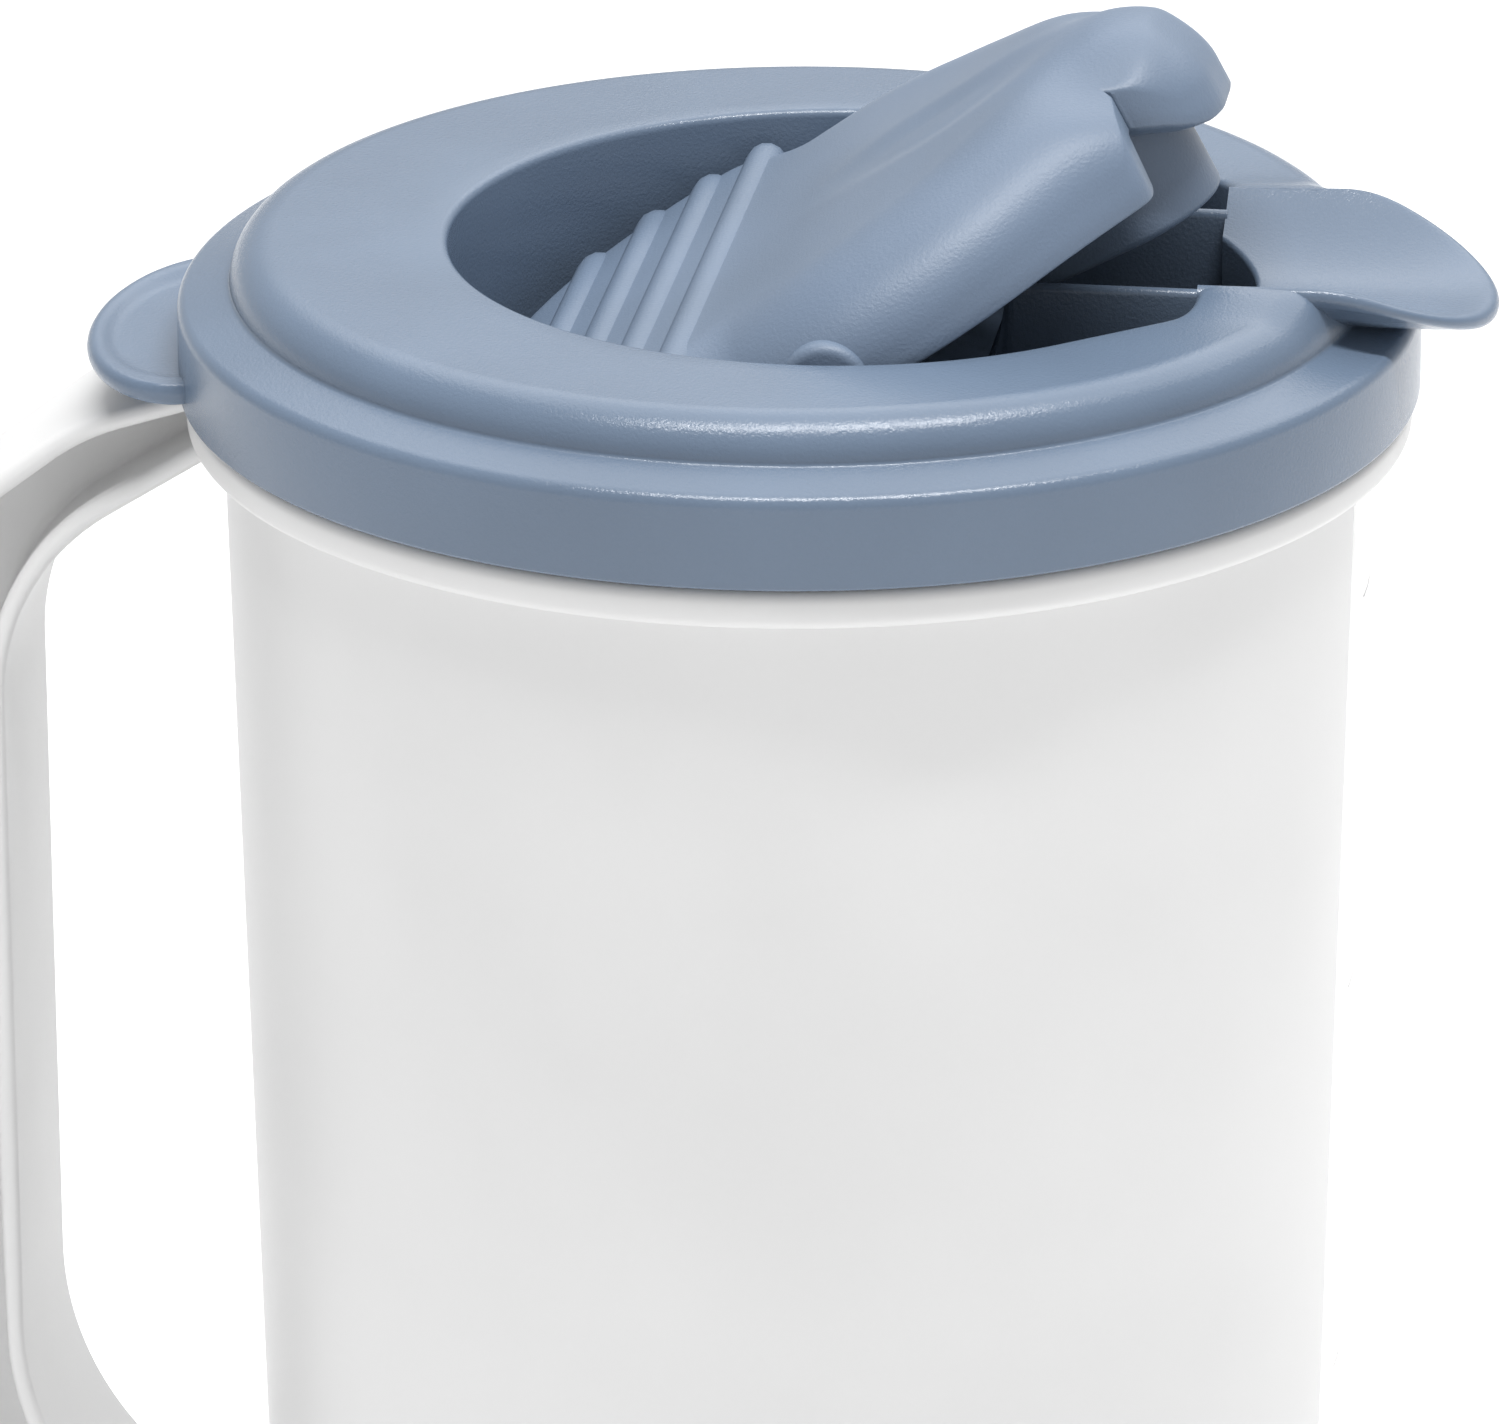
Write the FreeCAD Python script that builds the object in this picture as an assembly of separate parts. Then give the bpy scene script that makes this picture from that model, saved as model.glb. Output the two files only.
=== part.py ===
import FreeCAD, Part
import math
import os

# A round two-quart drinks pitcher in three mouldings: a translucent jug with its loop
# handle, a press-on lid with a spout, and a rocking cover that is shown tipped open.
# Millimetres. The origin is the centre of the base, +Z is up, the spout points along +X
# and the handle stands on the -X side. Each moulding is split into named regions.

Vec = FreeCAD.Vector
UP = Vec(0, 0, 1)
ALONG = Vec(1, 0, 0)
ACROSS = Vec(0, 1, 0)
CENTRE = Vec(0, 0, 0)

# Jug shell
JUG_BASE_RADIUS = 57.7
JUG_NECK_RADIUS = 61.9
JUG_WALL = 1.8
JUG_FLOOR = 2.4
JUG_HEEL_ROUND = 6.0
BEAD_BOTTOM = 198.3
BEAD_HEIGHT = 3.5
BEAD_OVERHANG = 3.9
BEAD_ROUND = 1.4
RIM_RISE = 9.2
LIP_HEIGHT = 2.5
LIP_OVERHANG = 2.7

# Handle, an I-section loop in the X-Z plane
FINGER_GAP = 23.9
GRIP_DEPTH = 14.2
GRIP_HALF_WIDTH = 12.0
FLANGE = 2.2
WEB = 2.4
ARM_ROOT_DEPTH = 10.2
ARM_TOP_SLOPE = math.radians(32.4)
ARM_TOP_BELOW_BEAD = 18.5
ARM_TOP_ROUND = 26.0
ARM_SHOULDER_SETBACK = 8.3
ARM_SHOULDER_BELOW_BEAD = 0.3
ARM_OUTER_SLOPE = math.radians(18.1)
ARM_OUTER_TOP_BELOW_BEAD = 17.8
ARM_BOTTOM_INSIDE_Z = 57.0
HANDLE_OUTER_ROUND = 26.0

# Lid cap
SKIRT_GAP = 0.4
SKIRT_WALL = 1.6
SKIRT_BELOW_SEAT = 8.0
SHELF_RISE = 1.9
SHELF_ROUND = 1.8
SHELF_SLOPE_RISE = 1.7
SHELF_WIDTH = 5.7
CROWN_RISE = 8.3
CROWN_ROUND = 4.6
LID_WALL = 1.8
PLUG_GAP = 0.4
PLUG_WALL = 1.6
PLUG_DEPTH = 12.0

# Thumb tab on the handle side
TAB_REACH = 10.5
TAB_HALF_WIDTH = 22.0
TAB_THICK = 2.4
TAB_ABOVE_SKIRT = 1.2
TAB_ROUND = 1.0

# Recess in the lid
RECESS_CENTRE_X = 4.5
RECESS_MARGIN = 18.9
RECESS_TURN = math.radians(50.3)
RECESS_FRONT_MARGIN = 16.4
RECESS_FRONT_ROUND = 2.5
RECESS_DEPTH = 22.3
BOWL_WALL = 1.6

# Pouring channel, well and spout
CHANNEL_HALF = 12.4
CHANNEL_WALL = 1.6
WELL_LENGTH = 26.2
WELL_BACK_HEIGHT = 12.0
WELL_FRONT_MARGIN = 11.9
SPOUT_HALF = 17.4
SPOUT_OVERHANG = 8.4
SPOUT_EDGE_RISE = 1.7
SPOUT_TIP_DROP = 4.6
SPOUT_FLOOR_DROP = 4.1
SPOUT_DISH_RADIUS = 26.0
SPOUT_WALL = 2.4

# Flip cover and its pivots
PIVOT_X = 8.3
PIVOT_BELOW_TOP = 3.3
OPEN_ANGLE = 28.0
PIN_RADIUS = 2.2
PIN_GAP = 0.05
PIN_END_GAP = 0.3
PIN_REACH = 2.4
BOSS_RADIUS = 4.8
BOSS_GAP = 0.3
SOCKET_RADIUS = 4.3
SOCKET_DEPTH = 3.0
COVER_GAP = 1.2
COVER_TOP = 8.2
COVER_FLANK_BELOW_PIVOT = 1.5
COVER_WALL = 1.8
COVER_SHOULDER = 5.5
COVER_FRONT_GAP = 1.4
NOTCH_SETBACK = 2.3
NOTCH_CLEAR = 1.0
NOTCH_HEADROOM = 1.2
GRIP_ZONE_LENGTH = 30.6
GRIP_ZONE_THICK = 3.8
TONGUE_HALF = 11.4
TONGUE_BEHIND_PIVOT = 7.0
TONGUE_OVERHANG = 8.0
TONGUE_RISE = 2.0
TONGUE_ARCH_RADIUS = 36.0
TONGUE_NOSE_ROUND = 8.0
TONGUE_NOSE_BOTTOM = 1.9
RIB_COUNT = 4
RIB_FIRST_SETBACK = 3.6
RIB_PITCH = 6.7
RIB_HALF_WIDTH = 1.9
RIB_HEIGHT = 1.6
RIB_END_GAP = 0.6
TOLERANCE = 1e-3
COVER_PLUG_WALL = 1.8
COVER_PLUG_SETBACK = 5.2
COVER_PLUG_BACK_GAP = 1.5
COVER_PLUG_BELOW_PIVOT = 8.3

# Levels and radii that follow from the sizes above
BEAD_TOP = BEAD_BOTTOM + BEAD_HEIGHT
RIM_TOP = BEAD_TOP + RIM_RISE
NECK_INNER = JUG_NECK_RADIUS - JUG_WALL
BEAD_RADIUS = JUG_NECK_RADIUS + BEAD_OVERHANG
LIP_RADIUS = JUG_NECK_RADIUS + LIP_OVERHANG
GRIP_INSIDE_X = -JUG_NECK_RADIUS - FINGER_GAP
GRIP_OUTSIDE_X = GRIP_INSIDE_X - GRIP_DEPTH
ARM_ROOT_X = ARM_ROOT_DEPTH - JUG_NECK_RADIUS
ARM_BOTTOM_ROUND = FINGER_GAP + ARM_ROOT_DEPTH
ARM_TOP_INSIDE_Z = BEAD_BOTTOM - ARM_TOP_BELOW_BEAD
ARM_SHOULDER_X = GRIP_INSIDE_X + ARM_SHOULDER_SETBACK
ARM_SHOULDER_Z = BEAD_BOTTOM - ARM_SHOULDER_BELOW_BEAD
ARM_OUTER_TOP_Z = BEAD_BOTTOM - ARM_OUTER_TOP_BELOW_BEAD
SKIRT_INNER = LIP_RADIUS + SKIRT_GAP
SKIRT_RADIUS = SKIRT_INNER + SKIRT_WALL
SKIRT_BOTTOM = RIM_TOP - SKIRT_BELOW_SEAT
CROWN_RADIUS = SKIRT_RADIUS - SHELF_WIDTH
LID_TOP = RIM_TOP + CROWN_RISE
PLUG_RADIUS = NECK_INNER - PLUG_GAP
RECESS_RADIUS = CROWN_RADIUS - RECESS_MARGIN
RECESS_FRONT_X = CROWN_RADIUS - RECESS_FRONT_MARGIN
RECESS_FLOOR = LID_TOP - RECESS_DEPTH
CHANNEL_OUTER = CHANNEL_HALF + CHANNEL_WALL
WELL_FRONT_X = CROWN_RADIUS - WELL_FRONT_MARGIN
WELL_BACK_X = WELL_FRONT_X - WELL_LENGTH
WELL_CENTRE_X = WELL_FRONT_X - CHANNEL_HALF
SPOUT_TIP_X = SKIRT_RADIUS + SPOUT_OVERHANG
SPOUT_NOSE_X = SPOUT_TIP_X - SPOUT_HALF
SPOUT_EDGE = LID_TOP + SPOUT_EDGE_RISE
SPOUT_FLOOR = LID_TOP - SPOUT_FLOOR_DROP
PIVOT_Z = LID_TOP - PIVOT_BELOW_TOP
COVER_RADIUS = RECESS_RADIUS - COVER_GAP
COVER_CENTRE = RECESS_CENTRE_X - PIVOT_X
COVER_FRONT = RECESS_FRONT_X - PIVOT_X - COVER_FRONT_GAP
NOTCH_FRONT = COVER_FRONT - NOTCH_SETBACK
COVER_UNDERSIDE = COVER_TOP - COVER_WALL
COVER_FLANK_BOTTOM = -COVER_FLANK_BELOW_PIVOT
COVER_PLUG_BOTTOM = -COVER_PLUG_BELOW_PIVOT
GRIP_ZONE_FRONT = COVER_CENTRE - COVER_RADIUS + GRIP_ZONE_LENGTH
TONGUE_BACK = -TONGUE_BEHIND_PIVOT
TONGUE_FRONT = COVER_FRONT + TONGUE_OVERHANG
COVER_PLUG_FRONT = TONGUE_FRONT - COVER_PLUG_SETBACK
COVER_PLUG_BACK = WELL_BACK_X - PIVOT_X + COVER_PLUG_BACK_GAP
COVER_PLUG_HALF = TONGUE_HALF - COVER_WALL


def rounded_wire(corners, place):
    """Closed wire through corners (u, v, radius), each set in space by place(u, v)."""
    count = len(corners)
    spans = []
    for index, (u, v, radius) in enumerate(corners):
        before = corners[index - 1]
        after = corners[(index + 1) % count]
        here = Vec(u, v, 0)
        to_before = (Vec(before[0], before[1], 0) - here).normalize()
        to_after = (Vec(after[0], after[1], 0) - here).normalize()
        half = to_before.getAngle(to_after) / 2
        if radius == 0:
            spans.append((here, None, here))
            continue
        reach = radius / math.tan(half)
        bisector = (to_before + to_after).normalize()
        middle = here + bisector * (radius / math.sin(half) - radius)
        spans.append((here + to_before * reach, middle, here + to_after * reach))
    edges = []
    for index, (start, middle, end) in enumerate(spans):
        if middle is not None:
            points = [place(p.x, p.y) for p in (start, middle, end)]
            edges.append(Part.Arc(*points).toShape())
        following = spans[(index + 1) % count][0]
        if end.distanceToPoint(following) > TOLERANCE:
            edges.append(Part.LineSegment(place(end.x, end.y), place(following.x, following.y)).toShape())
    return Part.Wire(edges)


def side_face(corners, y=0.0):
    """Face of corners (x, z, radius) in the plane at y."""
    return Part.Face(rounded_wire(corners, lambda x, z: Vec(x, y, z)))


def plan_face(corners, z=0.0):
    """Face of corners (x, y, radius) in the plane at z."""
    return Part.Face(rounded_wire(corners, lambda x, y: Vec(x, y, z)))


def turned(corners):
    """Solid of revolution about Z of corners (radius, z, round)."""
    return side_face(corners).revolve(CENTRE, UP, 360)


def across(face, half_width):
    """Prism of a side face, half_width each way along Y."""
    lower = face.copy()
    lower.translate(ACROSS * -half_width)
    return lower.extrude(ACROSS * (2 * half_width))


def block(x_from, x_to, half_width, z_from, z_to):
    """Box centred on the X-Z plane."""
    corner = Vec(x_from, -half_width, z_from)
    return Part.makeBox(x_to - x_from, 2 * half_width, z_to - z_from, corner)


def cylinder_across(radius, x, z, y_from, y_to):
    """Cylinder along Y between two y values."""
    return Part.makeCylinder(radius, y_to - y_from, Vec(x, y_from, z), ACROSS)


def make_jug_vessel():
    """Drafted cup with a rounded heel, a bead under the lid and a thin rim with a lip."""
    outside_heel = JUG_HEEL_ROUND
    inside_heel = JUG_HEEL_ROUND - JUG_WALL
    return turned([
        (0, 0, 0),
        (JUG_BASE_RADIUS, 0, outside_heel),
        (JUG_NECK_RADIUS, BEAD_BOTTOM, 0),
        (BEAD_RADIUS, BEAD_BOTTOM, BEAD_ROUND),
        (BEAD_RADIUS, BEAD_TOP, BEAD_ROUND),
        (JUG_NECK_RADIUS, BEAD_TOP, 0),
        (JUG_NECK_RADIUS, RIM_TOP - LIP_HEIGHT, 0),
        (LIP_RADIUS, RIM_TOP - LIP_HEIGHT, 0),
        (LIP_RADIUS, RIM_TOP, 0),
        (NECK_INNER, RIM_TOP, 0),
        (NECK_INNER, BEAD_BOTTOM, 0),
        (JUG_BASE_RADIUS - JUG_WALL, JUG_FLOOR, inside_heel),
        (0, JUG_FLOOR, 0),
    ])


def handle_outline(inset):
    """Side face inside the handle's outer contour, drawn in by inset."""
    root_x = ARM_ROOT_X
    outside_x = GRIP_OUTSIDE_X + inset
    bottom = ARM_BOTTOM_INSIDE_Z - GRIP_DEPTH + inset
    shoulder_z = ARM_SHOULDER_Z - inset
    root_top = shoulder_z + (root_x - ARM_SHOULDER_X) * math.tan(ARM_OUTER_SLOPE)
    return side_face([
        (root_x, bottom, 0),
        (outside_x, bottom, ARM_BOTTOM_ROUND + GRIP_DEPTH - inset),
        (outside_x, ARM_OUTER_TOP_Z - inset / 2, HANDLE_OUTER_ROUND - inset),
        (ARM_SHOULDER_X, shoulder_z, HANDLE_OUTER_ROUND),
        (root_x, root_top, 0),
    ])


def finger_hole(outset):
    """Side face of the gap for the fingers, drawn out by outset."""
    root_x = ARM_ROOT_X
    inside_x = GRIP_INSIDE_X - outset
    top = ARM_TOP_INSIDE_Z + outset
    bottom = ARM_BOTTOM_INSIDE_Z - outset
    return side_face([
        (root_x, bottom, 0),
        (inside_x, bottom, ARM_BOTTOM_ROUND + outset),
        (inside_x, top, ARM_TOP_ROUND + outset),
        (root_x, top + (root_x - inside_x) * math.tan(ARM_TOP_SLOPE), 0),
    ])


def make_jug_handle(vessel):
    """Outer flange, inner flange and thin web of the loop handle, ending on the jug's wall."""
    wide = 2 * GRIP_HALF_WIDTH
    jug_space = turned([
        (0, 0, 0),
        (JUG_BASE_RADIUS, 0, JUG_HEEL_ROUND),
        (JUG_NECK_RADIUS, BEAD_BOTTOM, 0),
        (JUG_NECK_RADIUS, BEAD_TOP, 0),
        (SKIRT_RADIUS, BEAD_TOP, 0),
        (SKIRT_RADIUS, RIM_TOP, 0),
        (0, RIM_TOP, 0),
    ])
    outer = across(handle_outline(0), GRIP_HALF_WIDTH).cut(across(handle_outline(FLANGE), wide))
    inner = across(finger_hole(FLANGE), GRIP_HALF_WIDTH).cut(across(finger_hole(0), wide))
    inner = inner.common(across(handle_outline(FLANGE), wide))
    web = across(handle_outline(FLANGE), WEB / 2).cut(across(finger_hole(FLANGE), wide))
    parts = {"jug_handle_outer_flange": outer, "jug_handle_inner_flange": inner, "jug_handle_web": web}
    return {name: shape.cut(jug_space).cut(vessel) for name, shape in parts.items()}


def recess_corners(inset, front_inset):
    """Plan of the recess, drawn in all round: a large arc, two tangents and a front edge."""
    radius = RECESS_RADIUS - inset
    touch_x = RECESS_CENTRE_X + radius * math.cos(RECESS_TURN)
    touch_y = radius * math.sin(RECESS_TURN)
    front_x = RECESS_FRONT_X - front_inset
    front_y = touch_y - (front_x - touch_x) / math.tan(RECESS_TURN)
    return radius, touch_x, touch_y, front_x, front_y


def recess_prism(inset, front_inset, z_from, z_to):
    """Upright prism of the recess plan."""
    radius, touch_x, touch_y, front_x, front_y = recess_corners(inset, front_inset)
    rear = Vec(RECESS_CENTRE_X - radius, 0, z_from)
    start = Vec(touch_x, -touch_y, z_from)
    end = Vec(touch_x, touch_y, z_from)
    near = Vec(front_x, -front_y, z_from)
    far = Vec(front_x, front_y, z_from)
    edges = [
        Part.Arc(start, rear, end).toShape(),
        Part.LineSegment(end, far).toShape(),
        Part.LineSegment(far, near).toShape(),
        Part.LineSegment(near, start).toShape(),
    ]
    prism = Part.Face(Part.Wire(edges)).extrude(UP * (z_to - z_from))
    corner_edges = []
    for edge in prism.Edges:
        upright = abs(edge.BoundBox.ZLength - (z_to - z_from)) < TOLERANCE
        if upright and abs(edge.BoundBox.XMin - front_x) < TOLERANCE:
            corner_edges.append(edge)
    return prism.makeFillet(RECESS_FRONT_ROUND, corner_edges)


def spout_plan(half_width, x_from, x_tip, z_from, z_to):
    """Upright prism with a straight body and a half-round nose."""
    nose_x = x_tip - half_width
    body = block(x_from, nose_x, half_width, z_from, z_to)
    nose = Part.makeCylinder(half_width, z_to - z_from, Vec(nose_x, 0, z_from))
    return body.fuse(nose).removeSplitter()


def make_spout_block():
    """Spout before it is dished: plan, drooping side profile and hollowed underside."""
    low = RECESS_FLOOR
    back_x = WELL_CENTRE_X
    plan = spout_plan(SPOUT_HALF, back_x, SPOUT_TIP_X, low, SPOUT_EDGE)
    side = across(side_face([
        (back_x, low, 0),
        (SPOUT_TIP_X, low, 0),
        (SPOUT_TIP_X, LID_TOP - SPOUT_TIP_DROP, 0),
        (SPOUT_NOSE_X + SPOUT_EDGE_RISE, SPOUT_EDGE, SPOUT_DISH_RADIUS),
        (RECESS_FRONT_X + SPOUT_WALL + SPOUT_HALF / 4, SPOUT_EDGE, SPOUT_WALL),
        (RECESS_FRONT_X + SPOUT_WALL, LID_TOP, SPOUT_WALL),
        (back_x, LID_TOP, 0),
    ]), SPOUT_HALF)
    under = dish_cylinder(SPOUT_DISH_RADIUS + SPOUT_WALL)
    return plan.common(side).common(under)


def dish_cylinder(radius):
    """Cylinder along X that dishes the channel floor."""
    start = Vec(WELL_BACK_X, 0, SPOUT_FLOOR + SPOUT_DISH_RADIUS)
    return Part.makeCylinder(radius, SPOUT_TIP_X, start, ALONG)


def well_prism(outset, z_from, z_to):
    """Upright prism of the pouring well: straight sides and a half-round front."""
    return spout_plan(CHANNEL_HALF + outset, WELL_BACK_X - outset, WELL_FRONT_X + outset, z_from, z_to)


def make_lid_cap(spout_block):
    """Skirt, sloping shelf, crown and top plate of the lid, open over the recess."""
    shelf_z = RIM_TOP + SHELF_RISE
    crown_z = shelf_z + SHELF_SLOPE_RISE
    inner_crown = CROWN_RADIUS - LID_WALL
    cap = turned([
        (SKIRT_INNER, SKIRT_BOTTOM, 0),
        (SKIRT_RADIUS, SKIRT_BOTTOM, 0),
        (SKIRT_RADIUS, shelf_z, SHELF_ROUND),
        (CROWN_RADIUS, crown_z, 0),
        (CROWN_RADIUS, LID_TOP, CROWN_ROUND),
        (0, LID_TOP, 0),
        (0, LID_TOP - LID_WALL, 0),
        (inner_crown, LID_TOP - LID_WALL, CROWN_ROUND - LID_WALL),
        (inner_crown, RIM_TOP, 0),
        (SKIRT_INNER, RIM_TOP, 0),
    ])
    cap = cap.cut(recess_prism(0, 0, RECESS_FLOOR, SPOUT_EDGE))
    cap = cap.cut(spout_block)
    return cap.cut(well_prism(0, RECESS_FLOOR, SPOUT_EDGE))


def make_lid_plug_ring():
    """Sealing wall that drops inside the jug's mouth from the underside of the lid."""
    inner = PLUG_RADIUS - PLUG_WALL
    return turned([
        (inner, RIM_TOP - PLUG_DEPTH, 0),
        (PLUG_RADIUS, RIM_TOP - PLUG_DEPTH, 0),
        (PLUG_RADIUS, RIM_TOP, 0),
        (inner, RIM_TOP, 0),
    ])


def make_lid_bowl():
    """Wall and floor of the recess, open where the well passes through."""
    underside = LID_TOP - LID_WALL
    outside = recess_prism(-BOWL_WALL, -BOWL_WALL, RECESS_FLOOR - BOWL_WALL, underside)
    inside = recess_prism(0, 0, RECESS_FLOOR, underside)
    return outside.cut(inside)


def make_lid_thumb_tab():
    """Half-oval tab on the handle side for lifting the lid."""
    bottom = SKIRT_BOTTOM + TAB_ABOVE_SKIRT
    oval = Part.Ellipse(CENTRE, TAB_HALF_WIDTH, TAB_REACH + SKIRT_WALL).toShape()
    oval.rotate(CENTRE, UP, 90)
    oval.translate(Vec(-SKIRT_RADIUS + SKIRT_WALL, 0, bottom))
    tab = Part.Face(Part.Wire([oval])).extrude(UP * TAB_THICK)
    tab = tab.makeFillet(TAB_ROUND, tab.Edges[0:1] + tab.Edges[2:3])
    return tab.cut(Part.makeCylinder(SKIRT_RADIUS, RIM_TOP))


def make_lid_channel(bowl, spout_block):
    """Side walls of the channel with the low back wall and the round front of the well."""
    floor_z = RECESS_FLOOR
    sides = block(WELL_BACK_X - CHANNEL_WALL, RECESS_FRONT_X, CHANNEL_OUTER, floor_z, LID_TOP)
    sides = sides.cut(block(WELL_BACK_X, RECESS_FRONT_X, CHANNEL_HALF, floor_z, LID_TOP))
    over_back = block(0, WELL_BACK_X, CHANNEL_HALF, floor_z + WELL_BACK_HEIGHT, LID_TOP)
    sides = sides.cut(over_back)
    front_top = LID_TOP - LID_WALL
    front = well_prism(CHANNEL_WALL, floor_z - BOWL_WALL, front_top)
    front = front.cut(well_prism(0, floor_z - BOWL_WALL, front_top))
    front = front.cut(block(0, WELL_CENTRE_X, CHANNEL_OUTER, 0, SPOUT_EDGE))
    below_dish = front.cut(spout_block).cut(dish_cylinder(SPOUT_DISH_RADIUS + SPOUT_WALL))
    return sides.fuse(below_dish).cut(bowl).removeSplitter()


def make_lid_spout(spout_block):
    """Dished pouring lip that carries the channel out over the shelf."""
    spout = spout_block.cut(dish_cylinder(SPOUT_DISH_RADIUS))
    inside = block(0, RECESS_FRONT_X, CHANNEL_HALF, RECESS_FLOOR, LID_TOP)
    beside = block(0, RECESS_FRONT_X, SPOUT_HALF, RECESS_FLOOR, SPOUT_EDGE).cut(inside)
    return spout.cut(beside).cut(well_prism(0, RECESS_FLOOR, SPOUT_EDGE))


def pivot_wall_y(inset, ahead=0.0):
    """Half-width of the recess plan at a distance ahead of the pivot, drawn in by inset."""
    radius = RECESS_RADIUS - inset
    return math.sqrt(radius ** 2 - (PIVOT_X + ahead - RECESS_CENTRE_X) ** 2)


def pin_end_y():
    """How far a pivot pin reaches from the middle plane."""
    return pivot_wall_y(0) + PIN_REACH


def pin_bores():
    """Bores for both pivot pins."""
    reach = pin_end_y() + PIN_END_GAP
    return cylinder_across(PIN_RADIUS + PIN_GAP, PIVOT_X, PIVOT_Z, -reach, reach)


def make_pivot_socket(side, bowl, cap):
    """Boss outside the recess wall that backs one pivot bore."""
    wall = pivot_wall_y(0)
    reach = wall + BOWL_WALL + SOCKET_DEPTH
    ends = sorted((side * wall, side * reach))
    boss = cylinder_across(SOCKET_RADIUS, PIVOT_X, PIVOT_Z, *ends)
    inside = recess_prism(0, 0, RECESS_FLOOR, SPOUT_EDGE)
    above = block(-RECESS_RADIUS, RECESS_RADIUS, CROWN_RADIUS, LID_TOP - LID_WALL, SPOUT_EDGE)
    return boss.cut(inside).cut(above).cut(bowl).cut(cap).cut(pin_bores())


def opened(shape):
    """Shape in the cover's own level frame, tipped open about the pivot."""
    tipped = shape.copy()
    tipped.rotate(CENTRE, ACROSS, -OPEN_ANGLE)
    tipped.translate(Vec(PIVOT_X, 0, PIVOT_Z))
    return tipped


def cover_prism(inset, z_from, z_to, shoulder):
    """Plan of the cover in its level frame, with a rounded shoulder along arc and tangents."""
    radius = COVER_RADIUS - inset
    touch_x = COVER_CENTRE + radius * math.cos(RECESS_TURN)
    touch_y = radius * math.sin(RECESS_TURN)
    end_y = touch_y - (TONGUE_FRONT - touch_x) / math.tan(RECESS_TURN)
    start = Vec(touch_x, -touch_y, z_from)
    rear = Vec(COVER_CENTRE - radius, 0, z_from)
    end = Vec(touch_x, touch_y, z_from)
    near = Vec(TONGUE_FRONT, -end_y, z_from)
    far = Vec(TONGUE_FRONT, end_y, z_from)
    edges = [
        Part.Arc(start, rear, end).toShape(),
        Part.LineSegment(end, far).toShape(),
        Part.LineSegment(far, near).toShape(),
        Part.LineSegment(near, start).toShape(),
    ]
    prism = Part.Face(Part.Wire(edges)).extrude(UP * (z_to - z_from))
    shoulder_edges = []
    for edge in prism.Edges:
        level = edge.BoundBox.ZMin > z_to - TOLERANCE
        if level and edge.BoundBox.XLength > TOLERANCE:
            shoulder_edges.append(edge)
    return prism.makeFillet(shoulder, shoulder_edges)


def cover_front_cut(inset):
    """What is cut from the front of the cover to leave two wings beside the tongue."""
    front = COVER_FRONT - inset
    notch = NOTCH_FRONT - inset
    wing_y = CHANNEL_OUTER + NOTCH_CLEAR + inset
    beyond = TONGUE_FRONT + COVER_WALL
    low = COVER_PLUG_BOTTOM
    tall = COVER_TOP - low
    wide = RECESS_RADIUS
    ahead = Part.makeBox(beyond - front, 2 * wide, tall + COVER_WALL, Vec(front, -wide, low))
    middle = Part.makeBox(beyond - notch, 2 * wing_y, tall + COVER_WALL, Vec(notch, -wing_y, low))
    return ahead.fuse(middle)


def tongue_block(inset):
    """Raised middle of the cover with a rounded nose, drawn in by inset."""
    half = TONGUE_HALF - inset
    front = TONGUE_FRONT - inset
    top = COVER_TOP + TONGUE_RISE - inset
    bottom = TONGUE_NOSE_BOTTOM if inset == 0 else COVER_PLUG_BOTTOM
    plan = plan_face([
        (TONGUE_BACK + inset, -half / 2, half / 3),
        (front, -half, TONGUE_NOSE_ROUND - inset),
        (front, half, TONGUE_NOSE_ROUND - inset),
        (TONGUE_BACK + inset, half / 2, half / 3),
    ], bottom).extrude(UP * (top - bottom))
    side = across(side_face([
        (TONGUE_BACK + inset, bottom, 0),
        (front, bottom, 0),
        (front, top, TONGUE_NOSE_ROUND - inset),
        (0, top, TONGUE_FRONT),
        (TONGUE_BACK + inset, COVER_UNDERSIDE - inset, 0),
    ]), half)
    arch_radius = TONGUE_ARCH_RADIUS - inset
    arch_start = Vec(TONGUE_BACK, 0, top - arch_radius)
    arch = Part.makeCylinder(arch_radius, front - TONGUE_BACK, arch_start, ALONG)
    return plan.common(side).common(arch)


def cover_cavity():
    """Hollow under the cover's skin, as deep as the plug wall reaches."""
    under_plate = cover_prism(COVER_WALL, COVER_PLUG_BOTTOM, COVER_UNDERSIDE, COVER_SHOULDER - COVER_WALL)
    under_plate = under_plate.cut(cover_front_cut(COVER_WALL))
    return under_plate.fuse(tongue_block(COVER_WALL))


def make_cover_parts():
    """Plate, tongue, grip ribs and plug wall of the cover, all in its level frame."""
    cavity = cover_cavity()
    shell = cover_prism(0, COVER_FLANK_BOTTOM, COVER_TOP, COVER_SHOULDER).cut(cover_front_cut(0))
    grip_bottom = COVER_TOP - GRIP_ZONE_THICK
    below_grip = block(-2 * RECESS_RADIUS, GRIP_ZONE_FRONT, RECESS_RADIUS, COVER_FLANK_BOTTOM, grip_bottom)
    shell = shell.cut(below_grip).cut(cavity)
    tongue = tongue_block(0)
    plate = shell.cut(tongue)
    tongue = tongue.cut(cavity).cut(plate)
    wall_top = LID_TOP + NOTCH_HEADROOM - PIVOT_Z
    wall_half = CHANNEL_OUTER + NOTCH_CLEAR
    over_walls = block(0, TONGUE_FRONT, wall_half, COVER_PLUG_BOTTOM, wall_top)
    over_walls = over_walls.cut(block(0, TONGUE_FRONT, TONGUE_HALF, COVER_PLUG_BOTTOM, wall_top))
    plate = plate.cut(over_walls)
    return plate, tongue, make_cover_plug(cavity)


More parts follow.
